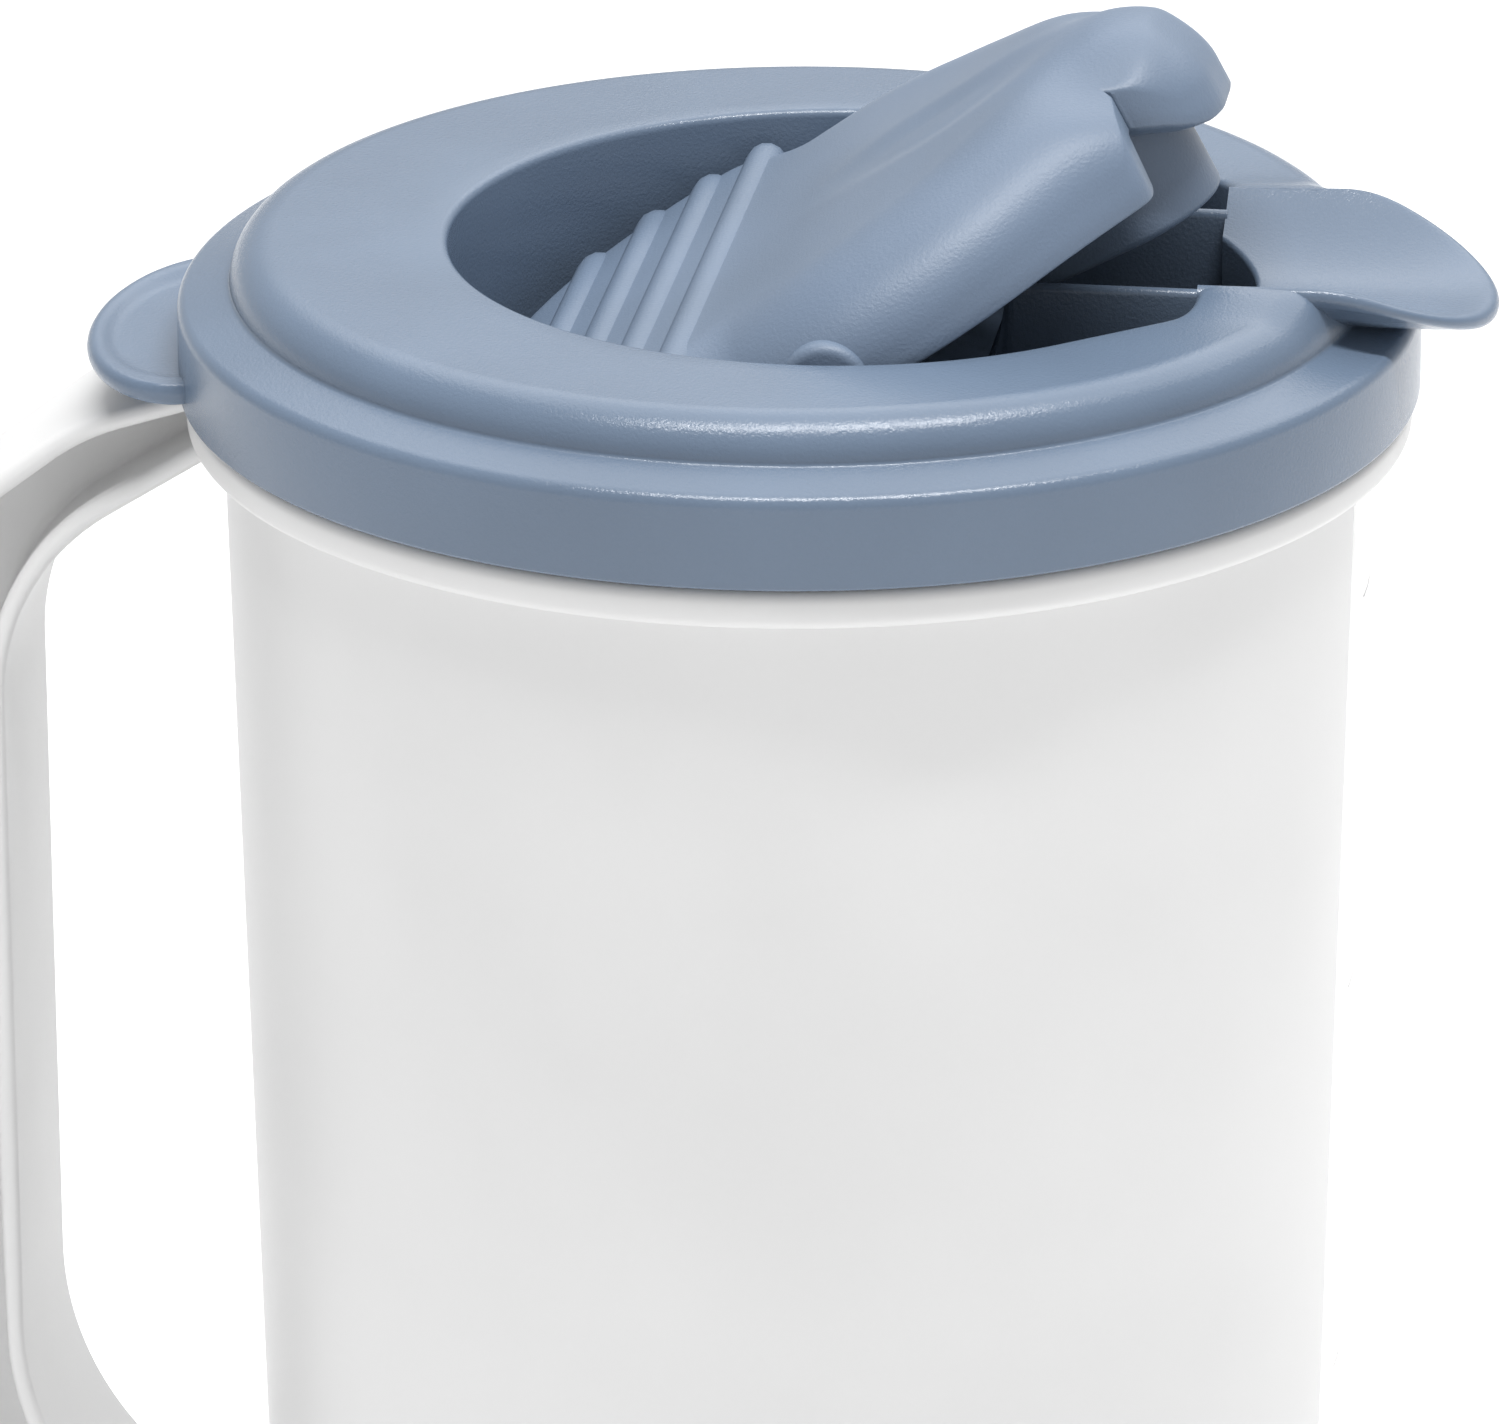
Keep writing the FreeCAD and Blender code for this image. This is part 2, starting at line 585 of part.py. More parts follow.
def make_cover_plug(cavity):
    """U-shaped wall under the cover that closes the well."""
    tall = COVER_TOP + TONGUE_RISE - COVER_PLUG_BOTTOM
    top = COVER_PLUG_BOTTOM + tall
    outside = spout_plan(COVER_PLUG_HALF, COVER_PLUG_BACK, COVER_PLUG_FRONT, COVER_PLUG_BOTTOM, top)
    inner_half = COVER_PLUG_HALF - COVER_PLUG_WALL
    inner_front = COVER_PLUG_FRONT - COVER_PLUG_WALL
    inside = spout_plan(inner_half, COVER_PLUG_BACK, inner_front, COVER_PLUG_BOTTOM, top)
    return outside.cut(inside).common(cavity)


def make_rib(index, plate):
    """One half-round grip rib that follows the shoulders across the rear of the cover."""
    station = GRIP_ZONE_FRONT - RIB_FIRST_SETBACK - index * RIB_PITCH
    front = station + RIB_HALF_WIDTH
    back = station - RIB_HALF_WIDTH
    crest = COVER_TOP + RIB_HEIGHT
    foot = COVER_TOP - GRIP_ZONE_THICK
    y = -COVER_RADIUS
    profile = Part.Wire([
        Part.LineSegment(Vec(back, y, foot), Vec(front, y, foot)).toShape(),
        Part.LineSegment(Vec(front, y, foot), Vec(front, y, COVER_TOP)).toShape(),
        Part.Arc(Vec(front, y, COVER_TOP), Vec(station, y, crest), Vec(back, y, COVER_TOP)).toShape(),
        Part.LineSegment(Vec(back, y, COVER_TOP), Vec(back, y, foot)).toShape(),
    ])
    bar = Part.Face(profile).extrude(ACROSS * (2 * COVER_RADIUS))
    domed = cover_prism(RIB_END_GAP, COVER_FLANK_BOTTOM, crest, COVER_SHOULDER)
    hollow = cover_prism(COVER_WALL, COVER_PLUG_BOTTOM, COVER_UNDERSIDE, COVER_SHOULDER - COVER_WALL)
    return bar.common(domed).cut(hollow).cut(plate)


def make_pivot(side, plate):
    """Boss and pin on one flank of the cover, in its level frame."""
    flank = pivot_wall_y(COVER_GAP) - COVER_WALL
    boss_end = pivot_wall_y(0, BOSS_RADIUS) - BOSS_GAP
    boss_span = sorted((side * flank, side * boss_end))
    pin_span = sorted((side * flank, side * pin_end_y()))
    boss = cylinder_across(BOSS_RADIUS, 0, 0, *boss_span)
    pin = cylinder_across(PIN_RADIUS, 0, 0, *pin_span)
    return boss.fuse(pin).cut(plate).removeSplitter()


def save(name, shape):
    """Write one node."""
    shape.exportStep("parts/" + name + ".step")
    box = shape.BoundBox
    corners = (box.XMin, box.YMin, box.ZMin, box.XMax, box.YMax, box.ZMax)
    print(name, len(shape.Solids), shape.isValid(), [round(value, 2) for value in corners])


def main():
    """Build and write every node."""
    os.makedirs("parts", exist_ok=True)
    vessel = make_jug_vessel()
    save("jug_vessel", vessel)
    for name, shape in make_jug_handle(vessel).items():
        save(name, shape)

    spout_block = make_spout_block()
    cap = make_lid_cap(spout_block)
    bowl = make_lid_bowl().cut(well_prism(0, RECESS_FLOOR - BOWL_WALL, LID_TOP))
    channel = make_lid_channel(bowl.cut(well_prism(CHANNEL_WALL, RECESS_FLOOR, LID_TOP)), spout_block)
    bowl = bowl.cut(channel).cut(spout_block)
    bores = pin_bores()
    cap = cap.cut(bores)
    bowl = bowl.cut(bores)
    save("lid_cap", cap)
    save("lid_plug_ring", make_lid_plug_ring())
    save("lid_recess_bowl", bowl)
    save("lid_channel", channel)
    save("lid_spout", make_lid_spout(spout_block))
    save("lid_thumb_tab", make_lid_thumb_tab())
    sides = (("near", -1), ("far", 1))
    for label, side in sides:
        save("lid_pivot_socket_" + label, make_pivot_socket(side, bowl, cap))

    plate, tongue, plug = make_cover_parts()
    save("cover_plate", opened(plate))
    save("cover_tongue", opened(tongue))
    save("cover_plug", opened(plug))
    for index in range(RIB_COUNT):
        save("cover_grip_rib_%d" % (index + 1), opened(make_rib(index, plate)))
    for label, side in sides:
        save("cover_pivot_" + label, opened(make_pivot(side, plate)))


main()
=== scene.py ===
"""Looks of a two-quart drinks pitcher: frosted jug, slate-blue lid and rocking cover.

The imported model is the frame. Sizes here are millimetres in the CAD frame (origin at the
centre of the base, +Z up, spout along +X) and meshes are written in metres.
"""

import logging
import math
from dataclasses import dataclass, field
from enum import Enum
from typing import Callable, Iterable, Sequence

import bmesh
import bpy
import numpy as np
from mathutils import Matrix, Vector


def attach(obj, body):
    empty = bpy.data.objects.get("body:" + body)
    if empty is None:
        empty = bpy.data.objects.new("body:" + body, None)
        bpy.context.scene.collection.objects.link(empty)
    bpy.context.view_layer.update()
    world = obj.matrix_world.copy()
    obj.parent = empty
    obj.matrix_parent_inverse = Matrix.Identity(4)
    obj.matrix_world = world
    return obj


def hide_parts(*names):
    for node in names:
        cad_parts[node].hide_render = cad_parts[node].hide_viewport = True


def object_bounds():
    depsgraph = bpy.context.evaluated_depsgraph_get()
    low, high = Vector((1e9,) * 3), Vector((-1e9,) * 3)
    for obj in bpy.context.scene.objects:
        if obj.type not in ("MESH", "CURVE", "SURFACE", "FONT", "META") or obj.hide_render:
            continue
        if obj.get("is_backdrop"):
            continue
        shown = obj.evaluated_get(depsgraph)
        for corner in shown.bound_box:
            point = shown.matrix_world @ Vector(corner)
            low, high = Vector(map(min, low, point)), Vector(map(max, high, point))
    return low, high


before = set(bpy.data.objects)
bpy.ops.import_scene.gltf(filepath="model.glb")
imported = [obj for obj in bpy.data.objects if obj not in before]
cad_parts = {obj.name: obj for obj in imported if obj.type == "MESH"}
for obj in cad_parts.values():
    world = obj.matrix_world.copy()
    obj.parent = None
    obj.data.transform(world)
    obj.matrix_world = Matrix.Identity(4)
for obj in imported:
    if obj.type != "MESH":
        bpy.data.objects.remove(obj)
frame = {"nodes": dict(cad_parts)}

LOG = logging.getLogger("pitcher")
MM = 0.001
SHARP_ANGLE = math.radians(34)
Point = tuple[float, float, float]
Corner = tuple[float, float, float]


class Body(Enum):
    """CAD bodies that pieces ride on."""

    JUG = "jug"
    LID = "lid"
    COVER = "cover"


class Slot(Enum):
    """Material slots of the record."""

    JUG = "jug_plastic"
    LID = "lid_plastic"
    COVER = "cover_plastic"


# Shader and geometry trees


class Wire:
    """A node socket that takes part in Python expressions."""

    def __init__(self, bench: "NodeBench", socket: bpy.types.NodeSocket) -> None:
        """Keep the bench that adds the Math nodes, and the socket itself."""
        self.bench = bench
        self.socket = socket

    def __add__(self, other: "Wire | float") -> "Wire":
        """Sum."""
        return self.bench.math("ADD", self, other)

    def __radd__(self, other: float) -> "Wire":
        """Sum with a number in front."""
        return self.bench.math("ADD", other, self)

    def __sub__(self, other: "Wire | float") -> "Wire":
        """Difference."""
        return self.bench.math("SUBTRACT", self, other)

    def __rsub__(self, other: float) -> "Wire":
        """Difference with a number in front."""
        return self.bench.math("SUBTRACT", other, self)

    def __mul__(self, other: "Wire | float") -> "Wire":
        """Product."""
        return self.bench.math("MULTIPLY", self, other)

    def __rmul__(self, other: float) -> "Wire":
        """Product with a number in front."""
        return self.bench.math("MULTIPLY", other, self)

    def __truediv__(self, other: "Wire | float") -> "Wire":
        """Quotient."""
        return self.bench.math("DIVIDE", self, other)


class NodeBench:
    """Adds nodes to one tree, each by one call."""

    def __init__(self, tree: bpy.types.NodeTree) -> None:
        """Keep the tree that nodes are added to."""
        self.tree = tree

    def node(self, kind: str, inputs: dict[str, object], **settings: object) -> bpy.types.Node:
        """Add a node.

        Args:
            kind: Blender's node type.
            inputs: Values or links by socket name or identifier.
            settings: Properties that are set before any socket.

        Returns:
            The new node.
        """
        made = self.tree.nodes.new(kind)
        for name, value in settings.items():
            setattr(made, name, value)
        for name, value in inputs.items():
            matches = [socket for socket in made.inputs if socket.identifier == name]
            target = matches[0] if matches else made.inputs[name]
            if isinstance(value, Wire):
                self.tree.links.new(value.socket, target)
            elif isinstance(value, bpy.types.NodeSocket):
                self.tree.links.new(value, target)
            else:
                target.default_value = value
        return made

    def wire(self, made: bpy.types.Node, output: str | int = 0) -> Wire:
        """Wrap one output of a node."""
        return Wire(self, made.outputs[output])

    def out(self, kind: str, inputs: dict[str, object], output: str | int = 0,
            **settings: object) -> Wire:
        """Add a node and wrap one of its outputs."""
        return self.wire(self.node(kind, inputs, **settings), output)

    def vector(self, **parts: "Wire | float") -> Wire:
        """Join parts named X, Y and Z into a vector."""
        return self.out("ShaderNodeCombineXYZ", parts)

    def parts(self, vector: "Wire | bpy.types.NodeSocket") -> tuple[Wire, Wire, Wire]:
        """Split a vector into its X, Y and Z."""
        split = self.node("ShaderNodeSeparateXYZ", {"Vector": vector})
        return self.wire(split, "X"), self.wire(split, "Y"), self.wire(split, "Z")

    def math(self, operation: str, *values: "Wire | float") -> Wire:
        """Add a Math node.

        Args:
            operation: Name of the operation.
            values: One to three operands.

        Returns:
            The result.
        """
        names = ("Value", "Value_001", "Value_002")
        return self.out("ShaderNodeMath", dict(zip(names, values)), operation=operation)

    def clamped(self, value: Wire) -> Wire:
        """Limit a value to the span from 0 to 1."""
        return self.math("MINIMUM", self.math("MAXIMUM", value, 0.0), 1.0)

    def smooth_step(self, value: Wire, low: float, high: float) -> Wire:
        """Ease a value from 0 at low to 1 at high."""
        inputs = {"Value": value, "From Min": low, "From Max": high}
        return self.out("ShaderNodeMapRange", inputs, interpolation_type="SMOOTHSTEP")

    def blend_colour(self, share: Wire, first: tuple, second: tuple) -> Wire:
        """Mix two colours by a share."""
        inputs = {"Factor_Float": share, "A_Color": first, "B_Color": second}
        return self.out("ShaderNodeMix", inputs, 2, data_type="RGBA")


def linear(red: float, green: float, blue: float) -> tuple[float, float, float, float]:
    """Turn 8-bit sRGB numbers into a linear colour.

    Args:
        red: Red, 0 to 255.
        green: Green, 0 to 255.
        blue: Blue, 0 to 255.

    Returns:
        Linear red, green and blue, with an alpha of 1.
    """
    def channel(value: float) -> float:
        """Turn one channel into linear light."""
        share = value / 255
        return share / 12.92 if share <= 0.04045 else ((share + 0.055) / 1.055) ** 2.4

    return (channel(red), channel(green), channel(blue), 1.0)


# Finishes


def blank_finish(name: str) -> tuple[bpy.types.Material, NodeBench, bpy.types.Node]:
    """Start a node material.

    Args:
        name: Name of the material.

    Returns:
        The material, the bench of its tree and its Principled shader.
    """
    material = bpy.data.materials.new(name)
    material.use_nodes = True
    return material, NodeBench(material.node_tree), material.node_tree.nodes["Principled BSDF"]


@dataclass(frozen=True)
class SatinPlastic:
    """Opaque slate-blue moulding with a fine grain and a soft gloss."""

    name: str
    pale: tuple[float, float, float, float]
    deep: tuple[float, float, float, float]
    roughness: float
    grain_per_metre: float = 2600.0
    grain_depth: float = 0.00007
    flow_per_metre: float = 34.0
    bump_strength: float = 0.8
    flow_share: float = 0.75

    def build(self) -> bpy.types.Material:
        """Make the node material.

        Returns:
            The finished material.
        """
        material, bench, shader = blank_finish(self.name)
        place = bench.out("ShaderNodeTexCoord", {}, "Object")
        grain = bench.out("ShaderNodeTexNoise", {
            "Vector": place, "Scale": self.grain_per_metre, "Detail": 3.0, "Roughness": 0.6})
        flow = bench.out("ShaderNodeTexNoise", {
            "Vector": place, "Scale": self.flow_per_metre, "Detail": 2.0, "Roughness": 0.5})
        cloud = bench.smooth_step(flow, 0.25, 0.75)
        share = cloud * self.flow_share + grain * (1 - self.flow_share)
        colour = bench.blend_colour(share, self.deep, self.pale)
        gloss = self.roughness + (cloud - 0.5) * 0.05 + (grain - 0.5) * 0.06
        bump = bench.node("ShaderNodeBump", {
            "Strength": self.bump_strength, "Distance": self.grain_depth, "Height": grain})
        material.node_tree.links.new(colour.socket, shader.inputs["Base Color"])
        material.node_tree.links.new(gloss.socket, shader.inputs["Roughness"])
        material.node_tree.links.new(bump.outputs["Normal"], shader.inputs["Normal"])
        shader.inputs["IOR"].default_value = 1.49
        shader.inputs["Specular IOR Level"].default_value = 0.42
        return material


@dataclass(frozen=True)
class FrostedPlastic:
    """Translucent natural polypropylene: frosted, with a polished strip under the spout."""

    name: str
    frost: tuple[float, float, float, float]
    frost_shade: tuple[float, float, float, float]
    clear: tuple[float, float, float, float]
    strip_half_width: float
    strip_top: float
    strip_fade: float = 0.0004
    top_fade: float = 0.001
    grain_per_metre: float = 1500.0
    grain_depth: float = 0.00003
    flow_per_metre: float = 18.0

    def build(self) -> bpy.types.Material:
        """Make the node material.

        Returns:
            The finished material.
        """
        material, bench, plain = blank_finish(self.name)
        tree = material.node_tree
        place = bench.out("ShaderNodeTexCoord", {}, "Object")
        x, y, z = bench.parts(place)
        spout_side = bench.math("GREATER_THAN", x, 0.0)
        beside = bench.math("ABSOLUTE", y)
        inside = 1.0 - bench.smooth_step(
            beside, self.strip_half_width - self.strip_fade, self.strip_half_width)
        below = 1.0 - bench.smooth_step(z, self.strip_top - self.top_fade, self.strip_top)
        strip = spout_side * inside * below
        grain = bench.out("ShaderNodeTexNoise", {
            "Vector": place, "Scale": self.grain_per_metre, "Detail": 4.0})
        flow = bench.out("ShaderNodeTexNoise", {
            "Vector": place, "Scale": self.flow_per_metre, "Detail": 3.0})
        share = bench.smooth_step(flow, 0.3, 0.7) * 0.8 + grain * 0.2
        colour = bench.blend_colour(share, self.frost_shade, self.frost)
        bump = bench.node("ShaderNodeBump", {
            "Strength": 0.35, "Distance": self.grain_depth, "Height": grain})
        frosted = bench.node("ShaderNodeBsdfPrincipled", {
            "Base Color": colour, "Roughness": 0.42 + (grain - 0.5) * 0.1, "IOR": 1.45,
            "Transmission Weight": 0.12, "Normal": bump.outputs["Normal"]})
        polished = bench.node("ShaderNodeBsdfPrincipled", {
            "Base Color": self.clear, "Roughness": 0.16, "IOR": 1.45, "Transmission Weight": 0.25})
        mixed = bench.node("ShaderNodeMixShader", {0: strip})
        tree.links.new(frosted.outputs[0], mixed.inputs[1])
        tree.links.new(polished.outputs[0], mixed.inputs[2])
        output = next(node for node in tree.nodes if node.type == "OUTPUT_MATERIAL")
        tree.links.new(mixed.outputs[0], output.inputs["Surface"])
        tree.nodes.remove(plain)
        return material


@dataclass(frozen=True)
class PaleFloor:
    """Plain white floor that the pitcher stands on."""

    name: str
    colour: tuple[float, float, float, float]

    def build(self) -> bpy.types.Material:
        """Make the node material.

        Returns:
            The finished material.
        """
        material, _, shader = blank_finish(self.name)
        shader.inputs["Base Color"].default_value = self.colour
        shader.inputs["Roughness"].default_value = 0.9
        shader.inputs["Specular IOR Level"].default_value = 0.1
        return material


# Mesh drafting


@dataclass
class MeshDraft:
    """Rings of points in millimetres that are skinned into one mesh."""

    points: list[Point] = field(default_factory=list)
    faces: list[tuple[int, ...]] = field(default_factory=list)

    def ring(self, points: Iterable[Sequence[float]]) -> list[int]:
        """Add points.

        Args:
            points: Points in order.

        Returns:
            Their numbers in the draft.
        """
        first = len(self.points)
        self.points.extend(tuple(float(part) for part in point) for point in points)
        return list(range(first, len(self.points)))

    def skin(self, rings: Sequence[list[int]], closed: bool = True) -> None:
        """Join rings of the same length with four-sided faces.

        Args:
            rings: Rings in order.
            closed: Whether each ring joins its last point to its first.
        """
        for low, high in zip(rings, rings[1:]):
            count = len(low)
            for here in range(count if closed else count - 1):
                following = (here + 1) % count
                self.faces.append((low[here], low[following], high[following], high[here]))

    def cap(self, ring: list[int]) -> None:
        """Close a ring with one face."""
        self.faces.append(tuple(ring))

    def body(self, name: str, rings: Sequence[list[int]],
             place: Matrix | None = None) -> bpy.types.Mesh:
        """Skin rings, close both ends and return the mesh.

        Args:
            name: Name of the mesh.
            rings: Closed rings in order.
            place: Where the draft's own frame lies, or None for the CAD frame.

        Returns:
            The mesh.
        """
        self.skin(rings)
        self.cap(rings[0])
        self.cap(rings[-1])
        return self.mesh(name, place)

    def mesh(self, name: str, place: Matrix | None = None) -> bpy.types.Mesh:
        """Weld the draft, turn its faces outwards and write it in metres.

        Args:
            name: Name of the mesh.
            place: Where the draft's own frame lies, or None for the CAD frame.

        Returns:
            The mesh.
        """
        made = bpy.data.meshes.new(name)
        made.from_pydata([tuple(MM * part for part in point) for point in self.points], [], self.faces)
        if place is not None:
            made.transform(place)
        weld(made)
        return made


def weld(mesh: bpy.types.Mesh) -> None:
    """Merge doubled points and turn the faces of a closed mesh outwards.

    Args:
        mesh: Mesh that is cleaned in place.
    """
    work = bmesh.new()
    work.from_mesh(mesh)
    bmesh.ops.remove_doubles(work, verts=work.verts, dist=2e-6)
    bmesh.ops.dissolve_degenerate(work, edges=work.edges, dist=1e-7)
    bmesh.ops.recalc_face_normals(work, faces=work.faces)
    work.to_mesh(mesh)
    work.free()


def rounded_path(corners: Sequence[Corner], steps: int = 8, closed: bool = False) -> np.ndarray:
    """Plane path through corners (u, v, radius) with an arc at each rounded corner.

    Args:
        corners: Corners in order, with a radius of 0 for a sharp one.
        steps: Spans of each arc.
        closed: Whether the last corner leads to the first.

    Returns:
        Points of the path, one row each.
    """
    count = len(corners)
    path: list[np.ndarray] = []
    for index, (u, v, radius) in enumerate(corners):
        here = np.array([u, v], float)
        inner = closed or 0 < index < count - 1
        if radius <= 0 or not inner:
            path.append(here)
            continue
        before = np.array(corners[index - 1][:2], float) - here
        after = np.array(corners[(index + 1) % count][:2], float) - here
        before /= np.linalg.norm(before)
        after /= np.linalg.norm(after)
        half = math.acos(float(np.clip(before @ after, -1, 1))) / 2
        reach = radius / math.tan(half)
        middle = before + after
        centre = here + middle / np.linalg.norm(middle) * radius / math.sin(half)
        start = here + before * reach - centre
        end = here + after * reach - centre
        sweep = math.atan2(start[0] * end[1] - start[1] * end[0], start @ end)
        for step in range(steps + 1):
            angle = sweep * step / steps
            turn = np.array([
                [math.cos(angle), -math.sin(angle)], [math.sin(angle), math.cos(angle)]])
            path.append(centre + turn @ start)
    return np.array(path)


def evenly(path: np.ndarray, count: int) -> np.ndarray:
    """Resample a path at even distances along it.

    Args:
        path: Points of the path, one row each.
        count: Number of points wanted.

    Returns:
        The new points.
    """
    spans = np.linalg.norm(np.diff(path, axis=0), axis=1)
    along = np.concatenate([[0.0], np.cumsum(spans)])
    stations = np.linspace(0.0, along[-1], count)
    return np.stack([np.interp(stations, along, path[:, part]) for part in range(path.shape[1])], axis=1)


def closed_evenly(path: np.ndarray, count: int) -> np.ndarray:
    """Resample a closed path at even distances, without repeating its first point."""
    return evenly(np.concatenate([path, path[:1]]), count + 1)[:-1]


def half_round(near: float, far: float, high: float, low: float) -> list[tuple[float, float]]:
    """Bulging edge from a top face round to an underside, without its first point.

    Args:
        near: Distance out where the bulge starts and ends.
        far: Distance out of its crest.
        high: Level of the top face.
        low: Level of the underside.

    Returns:
        Points (distance, level).
    """
    turns = [math.pi * step / 8 for step in range(1, 9)]
    middle = (high + low) / 2
    half = (high - low) / 2
    return [(near + (far - near) * math.sin(turn), middle + half * math.cos(turn)) for turn in turns]


def distance_to(path: np.ndarray, places: np.ndarray) -> np.ndarray:
    """Distance of each place from a closed path of short spans.

    Args:
        path: Points of the closed path.
        places: Places that are measured.

    Returns:
        One distance per place.
    """
    spans = np.roll(path, -1, axis=0) - path
    squares = np.maximum((spans ** 2).sum(axis=1), 1e-12)
    nearest = np.full(len(places), 1e9)
    for start, span, square in zip(path, spans, squares):
        share = np.clip(((places - start) @ span) / square, 0.0, 1.0)
        gap = places - start - share[:, None] * span
        nearest = np.minimum(nearest, (gap ** 2).sum(axis=1))
    return np.sqrt(nearest)


def inside_path(path: np.ndarray, places: np.ndarray) -> np.ndarray:
    """Whether each place lies inside a closed path.

    Args:
        path: Points of the closed path.
        places: Places that are tested.

    Returns:
        One truth value per place.
    """
    inside = np.zeros(len(places), bool)
    ends = np.roll(path, -1, axis=0)
    for (u1, v1), (u2, v2) in zip(path, ends):
        if v1 == v2:
            continue
        crosses = (v1 > places[:, 1]) != (v2 > places[:, 1])
        at = (u2 - u1) * (places[:, 1] - v1) / (v2 - v1) + u1
        inside ^= crosses & (places[:, 0] < at)
    return inside


def quarter_round(distance: np.ndarray, radius: np.ndarray | float) -> np.ndarray:
    """How far a rolled edge has dropped at a distance inside it."""
    short = np.clip(radius - distance, 0.0, radius)
    return radius - np.sqrt(np.maximum(radius ** 2 - short ** 2, 0.0))


def smooth_step(value: np.ndarray | float, low: float, high: float) -> np.ndarray | float:
    """Ease from 0 at low to 1 at high."""
    share = np.clip((value - low) / (high - low), 0.0, 1.0)
    return share * share * (3 - 2 * share)


def turned_mesh(name: str, profile: np.ndarray, segments: int,
                place: Matrix | None = None) -> bpy.types.Mesh:
    """Turn a closed profile of (radius, height) about Z.

    Args:
        name: Name of the mesh.
        profile: Profile points, closed from the last to the first.
        segments: Spans round the axis.
        place: Where the turned shape's own frame lies.

    Returns:
        The mesh.
    """
    draft = MeshDraft()
    rings = []
    for index in range(segments):
        angle = 2 * math.pi * index / segments
        rings.append(draft.ring((r * math.cos(angle), r * math.sin(angle), z) for r, z in profile))
    draft.skin(rings + rings[:1])
    return draft.mesh(name, place)


@dataclass(frozen=True)
class WallSweep:
    """Upright wall along a plan path, with a rounded top edge."""

    thickness: float
    round_steps: int = 6

    def mesh(self, name: str, path: np.ndarray, low: np.ndarray, high: np.ndarray,
             place: Matrix | None = None) -> bpy.types.Mesh:
        """Build the wall.

        Args:
            name: Name of the mesh.
            path: Plan points of the wall's middle.
            low: Bottom level at each point.
            high: Top level at each point.
            place: Where the wall's own frame lies.

        Returns:
            The mesh.
        """
        half = self.thickness / 2
        along = np.gradient(path, axis=0)
        along /= np.linalg.norm(along, axis=1)[:, None]
        across = np.stack([-along[:, 1], along[:, 0]], axis=1)
        draft = MeshDraft()
        rings = []
        for (u, v), (nu, nv), bottom, top in zip(path, across, low, high):
            section = [(half, bottom), (-half, bottom)]
            for step in range(self.round_steps + 1):
                angle = math.pi * (1 - step / self.round_steps)
                section.append((half * math.cos(angle), top - half + half * math.sin(angle)))
            rings.append(draft.ring((u + nu * s, v + nv * s, h) for s, h in section))
        return draft.body(name, rings, place)


def carve(mesh: bpy.types.Mesh, cutters: Sequence[bpy.types.Mesh]) -> bpy.types.Mesh:
    """Cut closed meshes out of a closed mesh.

    Args:
        mesh: Mesh that is cut.
        cutters: Meshes that are taken away.

    Returns:
        The cut mesh.
    """
    scene = bpy.context.scene
    work = bpy.data.objects.new("carve_work", mesh)
    scene.collection.objects.link(work)
    tools = []
    for cutter in cutters:
        tool = bpy.data.objects.new("carve_tool", cutter)
        scene.collection.objects.link(tool)
        tools.append(tool)
        cut = work.modifiers.new("cut", "BOOLEAN")
        cut.operation = "DIFFERENCE"
        cut.solver = "EXACT"
        cut.object = tool
    evaluated = work.evaluated_get(bpy.context.evaluated_depsgraph_get())
    made = bpy.data.meshes.new_from_object(evaluated)
    for thing in [work, *tools]:
        bpy.data.objects.remove(thing)
    made.name = mesh.name
    return made


class Workshop:
    """Finishes meshes into pieces: material chosen by slot, shading, body and the nodes they stand for.
    """

    def __init__(self, nodes: dict[str, bpy.types.Object]) -> None:
        """Keep the CAD nodes and build the three finishes.

        Args:
            nodes: CAD nodes by name.
        """
        self.nodes = nodes
        lid_blue = SatinPlastic(
            "slate_lid_plastic", linear(96, 111, 130), linear(89, 103, 121), 0.22)
        cover_blue = SatinPlastic(
            "slate_cover_plastic", linear(100, 115, 135), linear(93, 107, 125), 0.42)
        frosted = FrostedPlastic(
            "frosted_jug_plastic", linear(218, 218, 218), linear(211, 211, 211), linear(227, 227, 227),
            strip_half_width=0.011, strip_top=0.1975)
        self.materials = {
            Slot.LID: lid_blue.build(),
            Slot.COVER: cover_blue.build(),
            Slot.JUG: frosted.build(),
        }

    def piece(self, mesh: bpy.types.Mesh, body: Body, slot: Slot,
              replaces: Sequence[str] = ()) -> None:
        """Make a finished piece of a mesh.

        Args:
            mesh: Mesh in the CAD frame, in metres.
            body: Body that the piece rides on.
            slot: Record slot that it takes its finish from.
            replaces: CAD nodes that it stands for.
        """
        made = bpy.data.objects.new(mesh.name, mesh)
        bpy.context.scene.collection.objects.link(made)
        mesh.materials.clear()
        mesh.materials.append(self.materials[slot])
        mesh.polygons.foreach_set("use_smooth", [True] * len(mesh.polygons))
        mesh.set_sharp_from_angle(angle=SHARP_ANGLE)
        mesh.update()
        if replaces:
            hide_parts(*replaces)
        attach(made, body.value)
        LOG.info("%s: %d faces on %s", made.name, len(mesh.polygons), body.value)

    def carried(self, name: str, slot: Slot) -> None:
        """Give a CAD node that stays its finish.

        Args:
            name: Name of the CAD node.
            slot: Record slot of its finish.
        """
        node = self.nodes[name]
        node.data.materials.clear()
        node.data.materials.append(self.materials[slot])
        LOG.info("%s: carried over with %s", name, slot.value)


# Rows grown by Geometry Nodes


